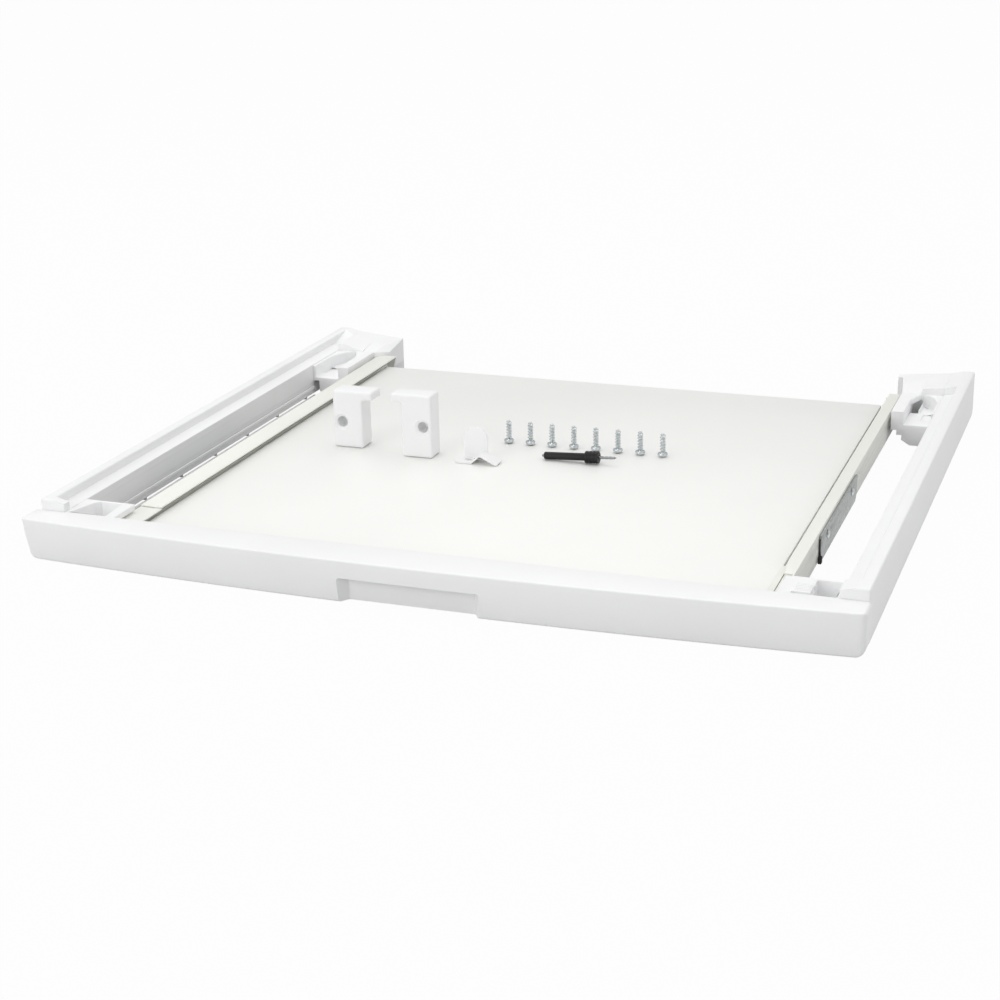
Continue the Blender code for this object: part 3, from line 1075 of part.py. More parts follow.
def main():
    clear_scene()
    white_plastic = material("white_plastic", (0.86, 0.86, 0.86), 0.45)
    white_laminate = material("white_laminate", (0.84, 0.84, 0.81), 0.5)
    cream_steel = material("cream_steel", (0.78, 0.77, 0.70), 0.45)
    galvanised = material("galvanised_steel", (0.56, 0.57, 0.58), 0.4, 1.0)
    zinc = material("zinc_plated_steel", (0.70, 0.72, 0.74), 0.3, 1.0)
    nylon = material("nylon", (0.80, 0.80, 0.78), 0.5)
    rubber = material("black_rubber", (0.02, 0.02, 0.02), 0.8)
    black_plastic = material("black_plastic", (0.015, 0.015, 0.015), 0.35)
    tool_steel = material("tool_steel", (0.45, 0.46, 0.48), 0.3, 1.0)

    shelf = bpy.data.objects.new("shelf_slide", None)
    bpy.context.collection.objects.link(shelf)
    shelf.location = (0, FASCIA_BACK_Y, PANEL_TOP)

    for side in (LEFT, RIGHT):
        label = SIDE_NAMES[side]
        make_side_rail(side, white_plastic)
        make_front_block(side, white_plastic)
        make_rear_block(side, white_plastic)
        make_fixed_runner(side, cream_steel)
        make_runner_plate(side, galvanised)
        make_rubber_stop(side, rubber)
        make_front_axle(side, zinc)
        make_roller(label + "_front_roller", FRONT_ROLLER_RADIUS, True, (FRONT_AXLE_Y, FRONT_AXLE_Z),
                    side, nylon)
        make_shelf_runner(side, cream_steel, shelf)
        make_rear_axle(side, zinc, shelf)
        make_roller(label + "_rear_roller", REAR_ROLLER_RADIUS, False, (REAR_AXLE_Y, REAR_AXLE_Z),
                    side, nylon, shelf)
        make_shelf_screws(side, zinc, shelf)
        for end in ("front", "rear"):
            make_plate_rivet(side, end, zinc)
            make_frame_screws(side, end, zinc)
    for end in ("front", "rear"):
        make_cross_rail(end, galvanised)
    make_panel(white_laminate, shelf)
    make_fascia(white_plastic, shelf)
    make_rear_bracket(LEFT, LEFT_BRACKET_PLACE, LEFT_BRACKET_HEIGHT, white_plastic, shelf)
    make_rear_bracket(RIGHT, RIGHT_BRACKET_PLACE, RIGHT_BRACKET_HEIGHT, white_plastic, shelf)
    make_clip(white_plastic, shelf)
    make_drill(black_plastic, tool_steel, shelf)
    for index in range(LOOSE_SCREWS):
        make_loose_screw(index, zinc, shelf)


main()
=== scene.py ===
import json
from math import atan2, cos, pi, radians, sin, sqrt, tan

import bmesh
import bpy
from mathutils import Matrix, Vector


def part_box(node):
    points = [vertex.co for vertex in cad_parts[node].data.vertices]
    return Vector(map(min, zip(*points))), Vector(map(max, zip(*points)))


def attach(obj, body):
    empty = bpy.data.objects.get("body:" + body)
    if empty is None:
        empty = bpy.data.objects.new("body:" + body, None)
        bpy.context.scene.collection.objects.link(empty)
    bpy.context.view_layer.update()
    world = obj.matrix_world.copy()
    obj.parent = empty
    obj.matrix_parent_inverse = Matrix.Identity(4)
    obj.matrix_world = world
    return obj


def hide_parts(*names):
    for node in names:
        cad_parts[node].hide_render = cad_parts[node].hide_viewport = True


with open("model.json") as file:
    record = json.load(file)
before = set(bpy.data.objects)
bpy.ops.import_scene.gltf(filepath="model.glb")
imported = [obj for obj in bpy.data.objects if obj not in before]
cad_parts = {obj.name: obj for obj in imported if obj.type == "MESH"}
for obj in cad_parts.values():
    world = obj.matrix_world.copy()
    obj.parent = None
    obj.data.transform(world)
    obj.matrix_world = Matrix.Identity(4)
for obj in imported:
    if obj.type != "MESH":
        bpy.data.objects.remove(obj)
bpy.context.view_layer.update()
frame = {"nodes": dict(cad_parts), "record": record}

nodes = frame["nodes"]
SIDES = {"left": -1, "right": 1}


# Small node helpers

NOISE_ROUGHNESS = 0.55
MIX_FACTOR, MIX_FIRST, MIX_SECOND, MIX_COLOUR = 0, 6, 7, 2


def add_node(tree, kind, values=None):
    """A new node with constants set on its inputs."""
    made = tree.nodes.new(kind)
    for name, value in (values or {}).items():
        made.inputs[name].default_value = value
    return made


def add_math(tree, operation, *values):
    """The result of a maths node; each input takes a node's output or a constant."""
    made = tree.nodes.new("ShaderNodeMath")
    made.operation = operation
    for socket, value in zip(made.inputs, values):
        if isinstance(value, float):
            socket.default_value = value
        else:
            tree.links.new(value, socket)
    return made.outputs[0]


class Shader:
    """A Principled material with short ways to add procedural detail."""

    def __init__(self, name, colour, roughness, metallic=0.0, specular=0.5):
        self.material = bpy.data.materials.new(name)
        self.material.use_nodes = True
        self.tree = self.material.node_tree
        self.inputs = self.tree.nodes["Principled BSDF"].inputs
        self.inputs["Base Color"].default_value = (*colour, 1.0)
        self.inputs["Roughness"].default_value = roughness
        self.inputs["Metallic"].default_value = metallic
        self.inputs["Specular IOR Level"].default_value = specular
        self.place = self.tree.nodes.new("ShaderNodeTexCoord").outputs["Object"]
        self.normal = None

    def link(self, source, target):
        self.tree.links.new(source, target)

    def noise(self, scale, detail, stretch=None):
        made = add_node(self.tree, "ShaderNodeTexNoise",
                        {"Scale": scale, "Detail": detail, "Roughness": NOISE_ROUGHNESS})
        place = self.place
        if stretch:
            mapping = add_node(self.tree, "ShaderNodeMapping", {"Scale": stretch})
            self.link(place, mapping.inputs["Vector"])
            place = mapping.outputs["Vector"]
        self.link(place, made.inputs["Vector"])
        return made.outputs["Fac"]

    def cells(self, scale, feature="F1"):
        made = self.tree.nodes.new("ShaderNodeTexVoronoi")
        made.feature = feature
        made.inputs["Scale"].default_value = scale
        self.link(self.place, made.inputs["Vector"])
        return made

    def ramp(self, value, stops):
        made = self.tree.nodes.new("ShaderNodeValToRGB")
        points = made.color_ramp.elements
        while len(points) < len(stops):
            points.new(0.5)
        for point, (place, colour) in zip(points, stops):
            point.position = place
            point.color = (*colour, 1.0)
        self.link(value, made.inputs["Fac"])
        return made.outputs["Color"]

    def spread(self, value, low, high):
        made = add_node(self.tree, "ShaderNodeMapRange", {"To Min": low, "To Max": high})
        self.link(value, made.inputs["Value"])
        return made.outputs["Result"]

    def mix(self, factor, tone, colour):
        made = self.tree.nodes.new("ShaderNodeMix")
        made.data_type = "RGBA"
        self.link(factor, made.inputs[MIX_FACTOR])
        self.link(tone, made.inputs[MIX_FIRST])
        made.inputs[MIX_SECOND].default_value = (*colour, 1.0)
        return made.outputs[MIX_COLOUR]

    def paint(self, colour):
        self.link(colour, self.inputs["Base Color"])

    def rough(self, value):
        self.link(value, self.inputs["Roughness"])

    def bump(self, height, distance, strength):
        made = add_node(self.tree, "ShaderNodeBump", {"Strength": strength, "Distance": distance})
        self.link(height, made.inputs["Height"])
        if self.normal:
            self.link(self.normal, made.inputs["Normal"])
        self.normal = made.outputs["Normal"]
        self.link(self.normal, self.inputs["Normal"])


def shade(colour, share):
    """A colour made lighter or darker by a share."""
    return tuple(min(1.0, part * share) for part in colour)


def white_plastic():
    """Satin moulded plastic: fine grain, soft flow marks and a little tone change."""
    base = (0.895, 0.897, 0.902)
    made = Shader("white_plastic", base, 0.42)
    tone = made.noise(9.0, 5.0)
    made.paint(made.ramp(tone, [(0.3, shade(base, 0.975)), (0.7, shade(base, 1.012))]))
    made.rough(made.spread(made.noise(60.0, 3.0), 0.36, 0.5))
    made.bump(made.noise(2600.0, 2.0), 0.00004, 0.55)
    made.bump(made.noise(22.0, 2.0), 0.0004, 0.12)
    return made.material


def white_laminate():
    """Warm white laminate: nearly smooth, with a faint pearl grain."""
    base = (0.890, 0.888, 0.866)
    made = Shader("white_laminate", base, 0.38)
    tone = made.noise(5.0, 4.0)
    made.paint(made.ramp(tone, [(0.35, shade(base, 0.985)), (0.65, shade(base, 1.01))]))
    made.rough(made.spread(made.noise(120.0, 3.0), 0.33, 0.45))
    made.bump(made.cells(900.0, "SMOOTH_F1").outputs["Distance"], 0.00003, 0.5)
    made.bump(made.noise(7.0, 2.0), 0.0005, 0.08)
    return made.material


def cream_steel():
    """Cream powder coat over steel: orange peel, thin dusty marks."""
    base = (0.855, 0.862, 0.805)
    made = Shader("cream_steel", base, 0.40)
    tone = made.noise(30.0, 5.0, stretch=(1.0, 0.25, 1.0))
    made.paint(made.ramp(tone, [(0.3, shade(base, 0.95)), (0.7, shade(base, 1.02))]))
    made.rough(made.spread(made.noise(200.0, 3.0), 0.32, 0.52))
    made.bump(made.noise(900.0, 2.0), 0.00008, 0.5)
    made.bump(made.noise(60.0, 3.0), 0.0003, 0.12)
    return made.material


def galvanised_steel():
    """Dull zinc-coated sheet with small spangles under a thin grey dust."""
    base, dust = (0.42, 0.436, 0.43), (0.37, 0.39, 0.38)
    made = Shader("galvanised_steel", base, 0.45, 0.85)
    cells = made.cells(420.0)
    tone = made.ramp(cells.outputs["Color"], [(0.0, shade(base, 0.86)), (1.0, shade(base, 1.16))])
    made.paint(made.mix(made.spread(made.noise(45.0, 5.0), 0.05, 0.35), tone, dust))
    made.rough(made.spread(cells.outputs["Distance"], 0.34, 0.6))
    made.bump(made.noise(1400.0, 2.0), 0.00004, 0.4)
    return made.material


def zinc_plate():
    """Bright zinc plating with faint blue and yellow tints."""
    blue, grey, yellow = (0.50, 0.57, 0.60), (0.66, 0.69, 0.70), (0.68, 0.68, 0.62)
    made = Shader("zinc_plated_steel", (0.62, 0.65, 0.66), 0.28, 1.0)
    made.paint(made.ramp(made.noise(350.0, 3.0), [(0.3, blue), (0.55, grey), (0.75, yellow)]))
    made.rough(made.spread(made.noise(900.0, 4.0), 0.2, 0.42))
    made.bump(made.noise(3000.0, 2.0), 0.00002, 0.4)
    return made.material


def nylon():
    """Natural nylon: a little translucent, with a fine grain."""
    made = Shader("nylon", (0.80, 0.80, 0.77), 0.42)
    made.inputs["Subsurface Weight"].default_value = 0.08
    made.inputs["Subsurface Radius"].default_value = (0.002, 0.002, 0.0018)
    tone = made.noise(80.0, 4.0)
    made.paint(made.ramp(tone, [(0.3, (0.76, 0.76, 0.73)), (0.7, (0.82, 0.82, 0.79))]))
    made.bump(made.noise(1500.0, 2.0), 0.00003, 0.4)
    return made.material


def black_rubber():
    """Matt black rubber with a dusty bloom."""
    made = Shader("black_rubber", (0.012, 0.012, 0.012), 0.75)
    bloom = made.noise(240.0, 5.0)
    made.paint(made.ramp(bloom, [(0.4, (0.010, 0.010, 0.010)), (0.75, (0.035, 0.035, 0.036))]))
    made.bump(made.noise(1800.0, 3.0), 0.00005, 0.5)
    return made.material


def black_plastic():
    """Smooth black plastic with fine scuffs along its length."""
    made = Shader("black_plastic", (0.008, 0.008, 0.009), 0.4, specular=0.3)
    scuff = made.noise(500.0, 5.0, stretch=(0.12, 1.0, 1.0))
    made.paint(made.ramp(scuff, [(0.45, (0.006, 0.006, 0.007)), (0.8, (0.018, 0.018, 0.02))]))
    made.rough(made.spread(scuff, 0.32, 0.55))
    made.bump(scuff, 0.00003, 0.3)
    return made.material


def tool_steel():
    """Ground steel with fine lines."""
    made = Shader("tool_steel", (0.30, 0.31, 0.32), 0.3, 0.95)
    lines = made.noise(2200.0, 3.0, stretch=(0.1, 1.0, 1.0))
    made.paint(made.ramp(lines, [(0.3, (0.20, 0.21, 0.22)), (0.7, (0.42, 0.43, 0.44))]))
    made.rough(made.spread(lines, 0.22, 0.42))
    return made.material


FINISHES = {
    "white_plastic": white_plastic(),
    "white_laminate": white_laminate(),
    "cream_steel": cream_steel(),
    "galvanised_steel": galvanised_steel(),
    "zinc_plated_steel": zinc_plate(),
    "nylon": nylon(),
    "black_rubber": black_rubber(),
    "black_plastic": black_plastic(),
    "tool_steel": tool_steel(),
}
SLOT_OF = {entry["node"]: entry["material_slot"] for entry in frame["record"]["subparts"]}
BODIES = frame["record"]["behaviour"]["bodies"]
BODY_OF = {node: body for body, members in BODIES.items() for node in members}


def set_material(piece, material):
    """Give a piece one material."""
    piece.data.materials.clear()
    piece.data.materials.append(material)


# Mesh helpers, where an axis is 0, 1 or 2 for x, y or z, and places are in metres

SAME_PLACE = 0.000002
FLAT_ANGLE = radians(0.6)
SHARP_DEGREES = 28.0


def new_piece(name, bm):
    """A new object from a mesh in world places."""
    bmesh.ops.recalc_face_normals(bm, faces=bm.faces)
    mesh = bpy.data.meshes.new(name)
    bm.to_mesh(mesh)
    bm.free()
    piece = bpy.data.objects.new(name, mesh)
    bpy.context.scene.collection.objects.link(piece)
    return piece


def skin(bm, rings):
    """Join closed rings of points; a ring of one point closes its end, any other end is flat."""
    loops = [[bm.verts.new(point) for point in ring] for ring in rings]
    for first, second in zip(loops, loops[1:]):
        around = max(len(first), len(second))
        for step in range(around):
            after = (step + 1) % around
            corners = [first[step % len(first)], first[after % len(first)],
                       second[after % len(second)], second[step % len(second)]]
            bm.faces.new(list(dict.fromkeys(corners)))
    for loop in (loops[0], loops[-1]):
        if len(loop) > 1:
            bm.faces.new(loop)
    return bm


def prism(bm, outline, axis, low, high):
    """Extrude a closed outline of the two other coordinates along one axis."""
    others = [index for index in range(3) if index != axis]
    rings = []
    for level in (low, high):
        ring = []
        for first, second in outline:
            point = Vector()
            point[axis] = level
            point[others[0]] = first
            point[others[1]] = second
            ring.append(point)
        rings.append(ring)
    return skin(bm, rings)


def box(bm, x_range, y_range, z_range):
    """A box between two corners."""
    outline = [(x_range[0], y_range[0]), (x_range[1], y_range[0]), (x_range[1], y_range[1]),
               (x_range[0], y_range[1])]
    return prism(bm, outline, 2, *z_range)


def span(side, first, second):
    """The x range between two distances from the middle, on one side."""
    return sorted((side * first, side * second))


def on_side(side, plan):
    """Points of a plan, given by distance from the middle and y, on one side."""
    return [(side * x, y) for x, y in plan]


def rounded(corners, steps=5):
    """A closed outline from (first, second, radius) corners."""
    outline = []
    for index, (first, second, radius) in enumerate(corners):
        here = Vector((first, second))
        if radius <= 0:
            outline.append((first, second))
            continue
        before = (Vector(corners[index - 1][:2]) - here).normalized()
        after = (Vector(corners[(index + 1) % len(corners)][:2]) - here).normalized()
        half = before.angle(after) / 2
        centre = here + (before + after).normalized() * (radius / sin(half))
        begin = here + before * (radius / tan(half)) - centre
        finish = here + after * (radius / tan(half)) - centre
        start_angle = atan2(begin.y, begin.x)
        turn = (atan2(finish.y, finish.x) - start_angle + pi) % (2 * pi) - pi
        for step in range(steps + 1):
            angle = start_angle + turn * step / steps
            outline.append((centre.x + radius * cos(angle), centre.y + radius * sin(angle)))
    return outline


def turned_rings(profile, centre, axis, around):
    """Rings for (radius, along) points turned round an axis through a centre."""
    others = [index for index in range(3) if index != axis]
    rings = []
    for radius, along in profile:
        ring = []
        for step in range(around if radius > 0 else 1):
            angle = 2 * pi * step / around
            point = Vector(centre)
            point[axis] += along
            point[others[0]] += radius * cos(angle)
            point[others[1]] += radius * sin(angle)
            ring.append(point)
        rings.append(ring)
    return rings


def bar(radius, start, end):
    """The profile of a plain round bar, to be turned."""
    return [(0, start), (radius, start), (radius, end), (0, end)]


def apply_modifiers(piece):
    """Turn a piece's modifiers into its mesh."""
    graph = bpy.context.evaluated_depsgraph_get()
    finished = bpy.data.meshes.new_from_object(piece.evaluated_get(graph))
    old = piece.data
    piece.modifiers.clear()
    piece.data = finished
    bpy.data.meshes.remove(old)


def cut(piece, bm, operation="DIFFERENCE"):
    """Cut a shape out of a piece, or join one on."""
    tool = new_piece("tool", bm)
    step = piece.modifiers.new("cut", "BOOLEAN")
    step.operation = operation
    step.solver = "EXACT"
    step.object = tool
    apply_modifiers(piece)
    mesh = tool.data
    bpy.data.objects.remove(tool, do_unlink=True)
    bpy.data.meshes.remove(mesh)


def soften(piece, width, segments=2, angle=SHARP_DEGREES):
    """Round a piece's sharp edges."""
    edge = piece.modifiers.new("edge", "BEVEL")
    edge.width = width
    edge.segments = segments
    edge.limit_method = "ANGLE"
    edge.angle_limit = radians(angle)
    edge.use_clamp_overlap = False
    edge.miter_outer = "MITER_ARC"
    apply_modifiers(piece)


def soften_where(piece, width, segments, inside):
    """Round the sharp edges of a piece whose two ends both pass a test."""
    bm = bmesh.new()
    bm.from_mesh(piece.data)
    bmesh.ops.dissolve_limit(bm, angle_limit=FLAT_ANGLE, verts=bm.verts, edges=bm.edges)
    sharp = [edge for edge in bm.edges
             if len(edge.link_faces) == 2 and edge.calc_face_angle() > radians(SHARP_DEGREES)
             and all(inside(vert.co) for vert in edge.verts)]
    bmesh.ops.bevel(bm, geom=sharp, offset=width, offset_type="OFFSET", segments=segments,
                    profile=0.5, affect="EDGES", clamp_overlap=False, miter_outer="ARC")
    bmesh.ops.recalc_face_normals(bm, faces=bm.faces)
    bm.to_mesh(piece.data)
    bm.free()


def node_copy(node):
    """The node's shape as a new piece, with flat faces joined up again."""
    bm = bmesh.new()
    bm.from_mesh(nodes[node].data)
    bmesh.ops.remove_doubles(bm, verts=bm.verts, dist=SAME_PLACE)
    bmesh.ops.dissolve_limit(bm, angle_limit=FLAT_ANGLE, verts=bm.verts, edges=bm.edges)
    piece = new_piece(node + "_shape", bm)
    carried = piece.data.attributes.get("custom_normal")
    if carried:
        piece.data.attributes.remove(carried)
    return piece


def finish_piece(piece, *replaced, body=None, slot=None, smooth_angle=32.0):
    """Shade a new piece, give it its node's material, and let it stand for its nodes."""
    node = replaced[0] if replaced else None
    slot = slot or SLOT_OF[node]
    piece.data.shade_smooth()
    piece.data.set_sharp_from_angle(angle=radians(smooth_angle))
    set_material(piece, FINISHES[slot])
    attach(piece, body or BODY_OF[node])
    if replaced:
        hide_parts(*replaced)


def rounded_copy(node, width):
    """The node's shape with its edges rounded, in the node's place."""
    piece = node_copy(node)
    soften(piece, width)
    finish_piece(piece, node)


# Places that several pieces share

SHELF_TOP = 0.0198
CLEAR = 0.0003
OPEN_TOP = 0.045


# The fascia

HALF_WIDTH = 0.300
FASCIA_END_Y = -0.268
FASCIA_BACK_Y = -0.2467
FASCIA_BOW = 0.011
FASCIA_LOW = 0.0003
FASCIA_HIGH = 0.0305
FASCIA_LEFT = -0.3016
FASCIA_RIGHT = 0.3014
FASCIA_WALL = 0.0025
FAR_FROM_ENDS = 1.0
UNDER_FLOOR = -0.004


def bow(x):
    """How far the fascia's front lies ahead of its ends."""
    return FASCIA_BOW * (1 - min(1.0, abs(x) / HALF_WIDTH) ** 2)


def round_off(distance, radius):
    """How far a face has drawn back at a distance from the end that it is rounded to."""
    if distance >= radius:
        return 0.0
    return radius - sqrt(radius ** 2 - (radius - distance) ** 2)


def fascia_rings():
    """The fascia's sections, close together at its rounded ends; the left end leans outwards."""
    near = (0.0, 0.00004, 0.00025, 0.0007, 0.0014, 0.0022, 0.0032, 0.0044, 0.0058, 0.0080,
            0.0110, 0.0160, 0.0220)
    middle_steps = 52
    first, last = FASCIA_LEFT + near[-1], FASCIA_RIGHT - near[-1]
    stations = [(FASCIA_LEFT + distance, distance) for distance in near]
    for step in range(1, middle_steps):
        stations.append((first + (last - first) * step / middle_steps, FAR_FROM_ENDS))
    stations += [(FASCIA_RIGHT - distance, distance) for distance in reversed(near)]

    front_radius, back_radius, low_radius, high_radius = 0.0045, 0.0030, 0.0068, 0.0022
    lean, lean_reach, upright_z, lean_height = 0.0030, 0.02, 0.012, 0.018
    rings = []
    for x, distance in stations:
        front = FASCIA_END_Y - bow(x) + round_off(distance, front_radius)
        back = FASCIA_BACK_Y - round_off(distance, back_radius)
        low = FASCIA_LOW + round_off(distance, low_radius)
        high = FASCIA_HIGH - round_off(distance, high_radius)
        section = rounded([(back, low, 0.0004), (back, high, 0.0007), (front, high, 0.0012),
                           (front - 0.0004, (low + high) / 2, 0), (front + 0.0006, low, 0.0018)])
        leaning = lean * max(0.0, 1 - distance / lean_reach) if x < 0 else 0.0
        rings.append([Vector((x - leaning * ((z - upright_z) / lean_height), y, z))
                      for y, z in section])
    return rings


def fascia_hollow():
    """The open bays under the fascia: four on each side, and a pair behind the grip."""
    front_wall, grip_wall, end_wall, bays, half_grip = 0.0038, 0.0105, 0.0085, 4, 0.051
    back = FASCIA_BACK_Y - FASCIA_WALL
    roof = FASCIA_HIGH - FASCIA_WALL
    first_bay = half_grip + FASCIA_WALL
    bay_step = (HALF_WIDTH - end_wall - first_bay) / bays
    bm = bmesh.new()
    for side in SIDES.values():
        for index in range(bays):
            start = first_bay + index * bay_step
            stop = start + bay_step - FASCIA_WALL
            plan = [(start, FASCIA_END_Y - bow(start) + front_wall),
                    (stop, FASCIA_END_Y - bow(stop) + front_wall), (stop, back), (start, back)]
            prism(bm, on_side(side, plan), 2, UNDER_FLOOR, roof)
        behind = FASCIA_END_Y - bow(half_grip) + grip_wall
        box(bm, span(side, FASCIA_WALL / 2, half_grip), (behind, back), (UNDER_FLOOR, roof))
    return bm


def fascia_grip():
    """The grip recess in the fascia's front: its sections narrow to a rounded back."""
    mouth_y = FASCIA_END_Y - bow(0) - 0.004
    rear_y = FASCIA_END_Y - bow(0) + 0.008
    radius = 0.0022
    rings = []
    for y, half, top in ((mouth_y, 0.0537, 0.0184), (rear_y - 0.0008, 0.0461, 0.0174),
                         (rear_y, 0.0452, 0.0166)):
        outline = rounded([(-half, UNDER_FLOOR, 0), (half, UNDER_FLOOR, 0),
                           (half, top, radius), (-half, top, radius)])
        rings.append([Vector((x, y, z)) for x, z in outline])
    return skin(bmesh.new(), rings)


def fascia_screw_holes():
    """Two holes in the fascia's back."""
    hole_x, hole_z = 0.221, 0.00615
    bm = bmesh.new()
    for side in SIDES.values():
        place = (side * hole_x, FASCIA_BACK_Y, hole_z)
        skin(bm, turned_rings(bar(0.0019, -0.006, 0.003), place, 1, 16))
    return bm


def make_fascia():
    """The bowed fascia: rounded ends and edges, a hollow underside with ribs, and the grip."""
    fascia = new_piece("fascia_shell", skin(bmesh.new(), fascia_rings()))
    cut(fascia, fascia_hollow())
    cut(fascia, fascia_grip())
    cut(fascia, fascia_screw_holes())
    finish_piece(fascia, "fascia", smooth_angle=30.0)


# The loose pieces on the shelf

BRACKETS = {
    "left": {"x": -0.159, "y": -0.0085, "height": 0.047},
    "right": {"x": -0.0955, "y": -0.018, "height": 0.051},
}
LOOSE_SCREWS = 8


def make_bracket(name):
    """A rear bracket with rounded edges, a lip at its top, a countersunk hole and a hollow foot."""
    side = SIDES[name]
    x, y, height = BRACKETS[name]["x"], BRACKETS[name]["y"], BRACKETS[name]["height"]
    low = SHELF_TOP + CLEAR
    half_width, half_depth, lip, lip_height = 0.01275, 0.0095, 0.009, 0.007
    far, near = x + side * half_width, x - side * half_width
    tip = near - side * lip
    outline = [(far, low), (far, low + height), (tip, low + height),
               (tip, low + height - lip_height), (near, low + height - lip_height), (near, low)]
    bracket = new_piece(name + "_bracket_shape",
                        prism(bmesh.new(), outline, 1, y - half_depth, y + half_depth))
    soften(bracket, 0.0019, 5, 55.0)

    hole, sink, sink_depth, before, past = 0.0045, 0.0066, 0.0016, -0.012, half_depth + 0.002
    place = (x + side * 0.0052, y, low + height - 0.026)
    profile = [(0, before), (sink, before), (sink, -half_depth), (hole, -half_depth + sink_depth),
               (hole, past), (0, past)]
    cut(bracket, skin(bmesh.new(), turned_rings(profile, place, 1, 40)))
    foot_x, foot_y, foot_high = 0.00975, 0.0065, 0.013
    cut(bracket, box(bmesh.new(), (x - foot_x, x + foot_x), (y - foot_y, y + foot_y),
                     (low - 0.004, low + foot_high)))
    finish_piece(bracket, name + "_rear_bracket", smooth_angle=34.0)


def make_clip():
    """The bent clip: a strip with soft folds and a hole, and an upright plate with a round top."""
    low = SHELF_TOP + CLEAR
    front, rear = FASCIA_END_Y + 0.2370, FASCIA_END_Y + 0.2500
    steel, fold = 0.0016, low + 0.0064
    outline = rounded([
        (-0.0622, low, 0.0003), (-0.0487, low, 0.0012), (-0.0414, fold, 0.0010),
        (-0.0279, low, 0.0003), (-0.0264, low + 0.0015, 0.0004), (-0.0414, fold + steel, 0.0022),
        (-0.0482, low + steel, 0.0012), (-0.0622, low + steel, 0.0004)], 4)
    strip = new_piece("clip_strip", prism(bmesh.new(), outline, 1, front, rear - steel))
    hole = (-0.0525, FASCIA_END_Y + 0.2440, low)
    cut(strip, skin(bmesh.new(), turned_rings(bar(0.0034, -0.003, 0.004), hole, 2, 32)))
    finish_piece(strip, "safety_clip")

    middle, radius, top, arc_steps = -0.0487, 0.0100, low + 0.0273, 24
    outline = [(middle - radius, low + 0.0002), (middle + radius, low + 0.0002)]
    for step in range(arc_steps + 1):
        angle = pi * step / arc_steps
        outline.append((middle + radius * cos(angle), top - radius + radius * sin(angle)))
    plate = new_piece("clip_plate", prism(bmesh.new(), outline, 1, rear - steel, rear))
    soften(plate, 0.00045, 3, 55.0)
    finish_piece(plate, body=BODY_OF["safety_clip"], slot=SLOT_OF["safety_clip"])


SCREW_HEAD = [
    (0, 0.00002), (0.0018, 0.00004), (0.0029, 0.00025), (0.0036, 0.0008), (0.00395, 0.0015),
    (0.0040, 0.0022), (0.0039, 0.00275), (0.0036, 0.0030), (0.0032, 0.0030), (0.0029, 0.0024),
    (0.0017, 0.0024), (0.0014, 0.0032)]


def make_loose_screw(index):
    """A pan head screw on its head, with a cut helical thread."""
    node = "loose_screw_" + str(index + 1)
    low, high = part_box(node)
    centre = ((low[0] + high[0]) / 2, (low[1] + high[1]) / 2, low[2])
    around, count = 20, 92
    core, crest, pitch = 0.00128, 0.00230, 0.0024
    tip_length, tip_share, tip_gain, grow_length = 0.0016, 0.55, 0.45, 0.0012
    flat_top, half_ridge = 1.6, 0.36
    start, end = 0.0035, high[2] - low[2] - 0.0003
    rings = turned_rings(SCREW_HEAD, centre, 2, around)
    for step in range(count + 1):
        height = start + (end - start) * step / count
        to_tip = end - height
        taper = 1.0
        if to_tip <= tip_length:
            taper = tip_share + tip_gain * to_tip / tip_length
        grow = min(1.0, (height - start) / grow_length)
        ring = []
        for turn in range(around):
            phase = ((height - start) / pitch - turn / around) % 1.0
            ridge = min(1.0, flat_top * max(0.0, 1 - abs(phase - 0.5) / half_ridge))
            radius = (core + (crest - core) * grow * ridge) * taper
            angle = 2 * pi * turn / around
            ring.append(Vector((centre[0] + radius * cos(angle), centre[1] + radius * sin(angle),
                                centre[2] + height)))
        rings.append(ring)
    rings.append([Vector((centre[0], centre[1], high[2]))])
    screw = new_piece(node + "_shape", skin(bmesh.new(), rings))
    finish_piece(screw, node, smooth_angle=48.0)


SLEEVE_RADIUS = 0.0030
SLEEVE_LENGTH = 0.0338
COLLAR_RADIUS = 0.0048
COLLAR_LENGTH = 0.0110
BIT_RADIUS = 0.00115


def make_sleeve(place, turn):
    """The drill's sleeve with its grooved depth collar: a closed loop of rings round the bore."""
    bore, edge, around = BIT_RADIUS + 0.0002, 0.0004, 40
    profile = [(bore, 0.001 - SLEEVE_LENGTH), (bore, -SLEEVE_LENGTH),
               (SLEEVE_RADIUS - edge, -SLEEVE_LENGTH), (SLEEVE_RADIUS, edge - SLEEVE_LENGTH),
               (SLEEVE_RADIUS, -0.0006), (SLEEVE_RADIUS + 0.0003, 0),
               (COLLAR_RADIUS - edge, 0), (COLLAR_RADIUS, edge)]
    first_groove, groove_step, grooves, depth = 0.0020, 0.0028, 3, 0.0003
    for groove in range(grooves):
        start = first_groove + groove * groove_step
        profile += [(COLLAR_RADIUS, start), (COLLAR_RADIUS - depth, start + 0.0003),
                    (COLLAR_RADIUS - depth, start + 0.0009), (COLLAR_RADIUS, start + 0.0012)]
    profile += [(COLLAR_RADIUS, COLLAR_LENGTH - edge), (COLLAR_RADIUS - edge, COLLAR_LENGTH),
                (bore + 0.0006, COLLAR_LENGTH), (bore, COLLAR_LENGTH - 0.0006)]
    rings = turned_rings(profile, place, 0, around)
    bm = bmesh.new()
    loops = [[bm.verts.new(point) for point in ring] for ring in rings]
    for first, second in zip(loops, loops[1:] + loops[:1]):
        for step in range(around):
            after = (step + 1) % around
            bm.faces.new((first[step], first[after], second[after], second[step]))
    bmesh.ops.rotate(bm, verts=bm.verts, cent=place, matrix=turn)
    finish_piece(new_piece("drill_sleeve_shape", bm), "drill_sleeve", smooth_angle=40.0)


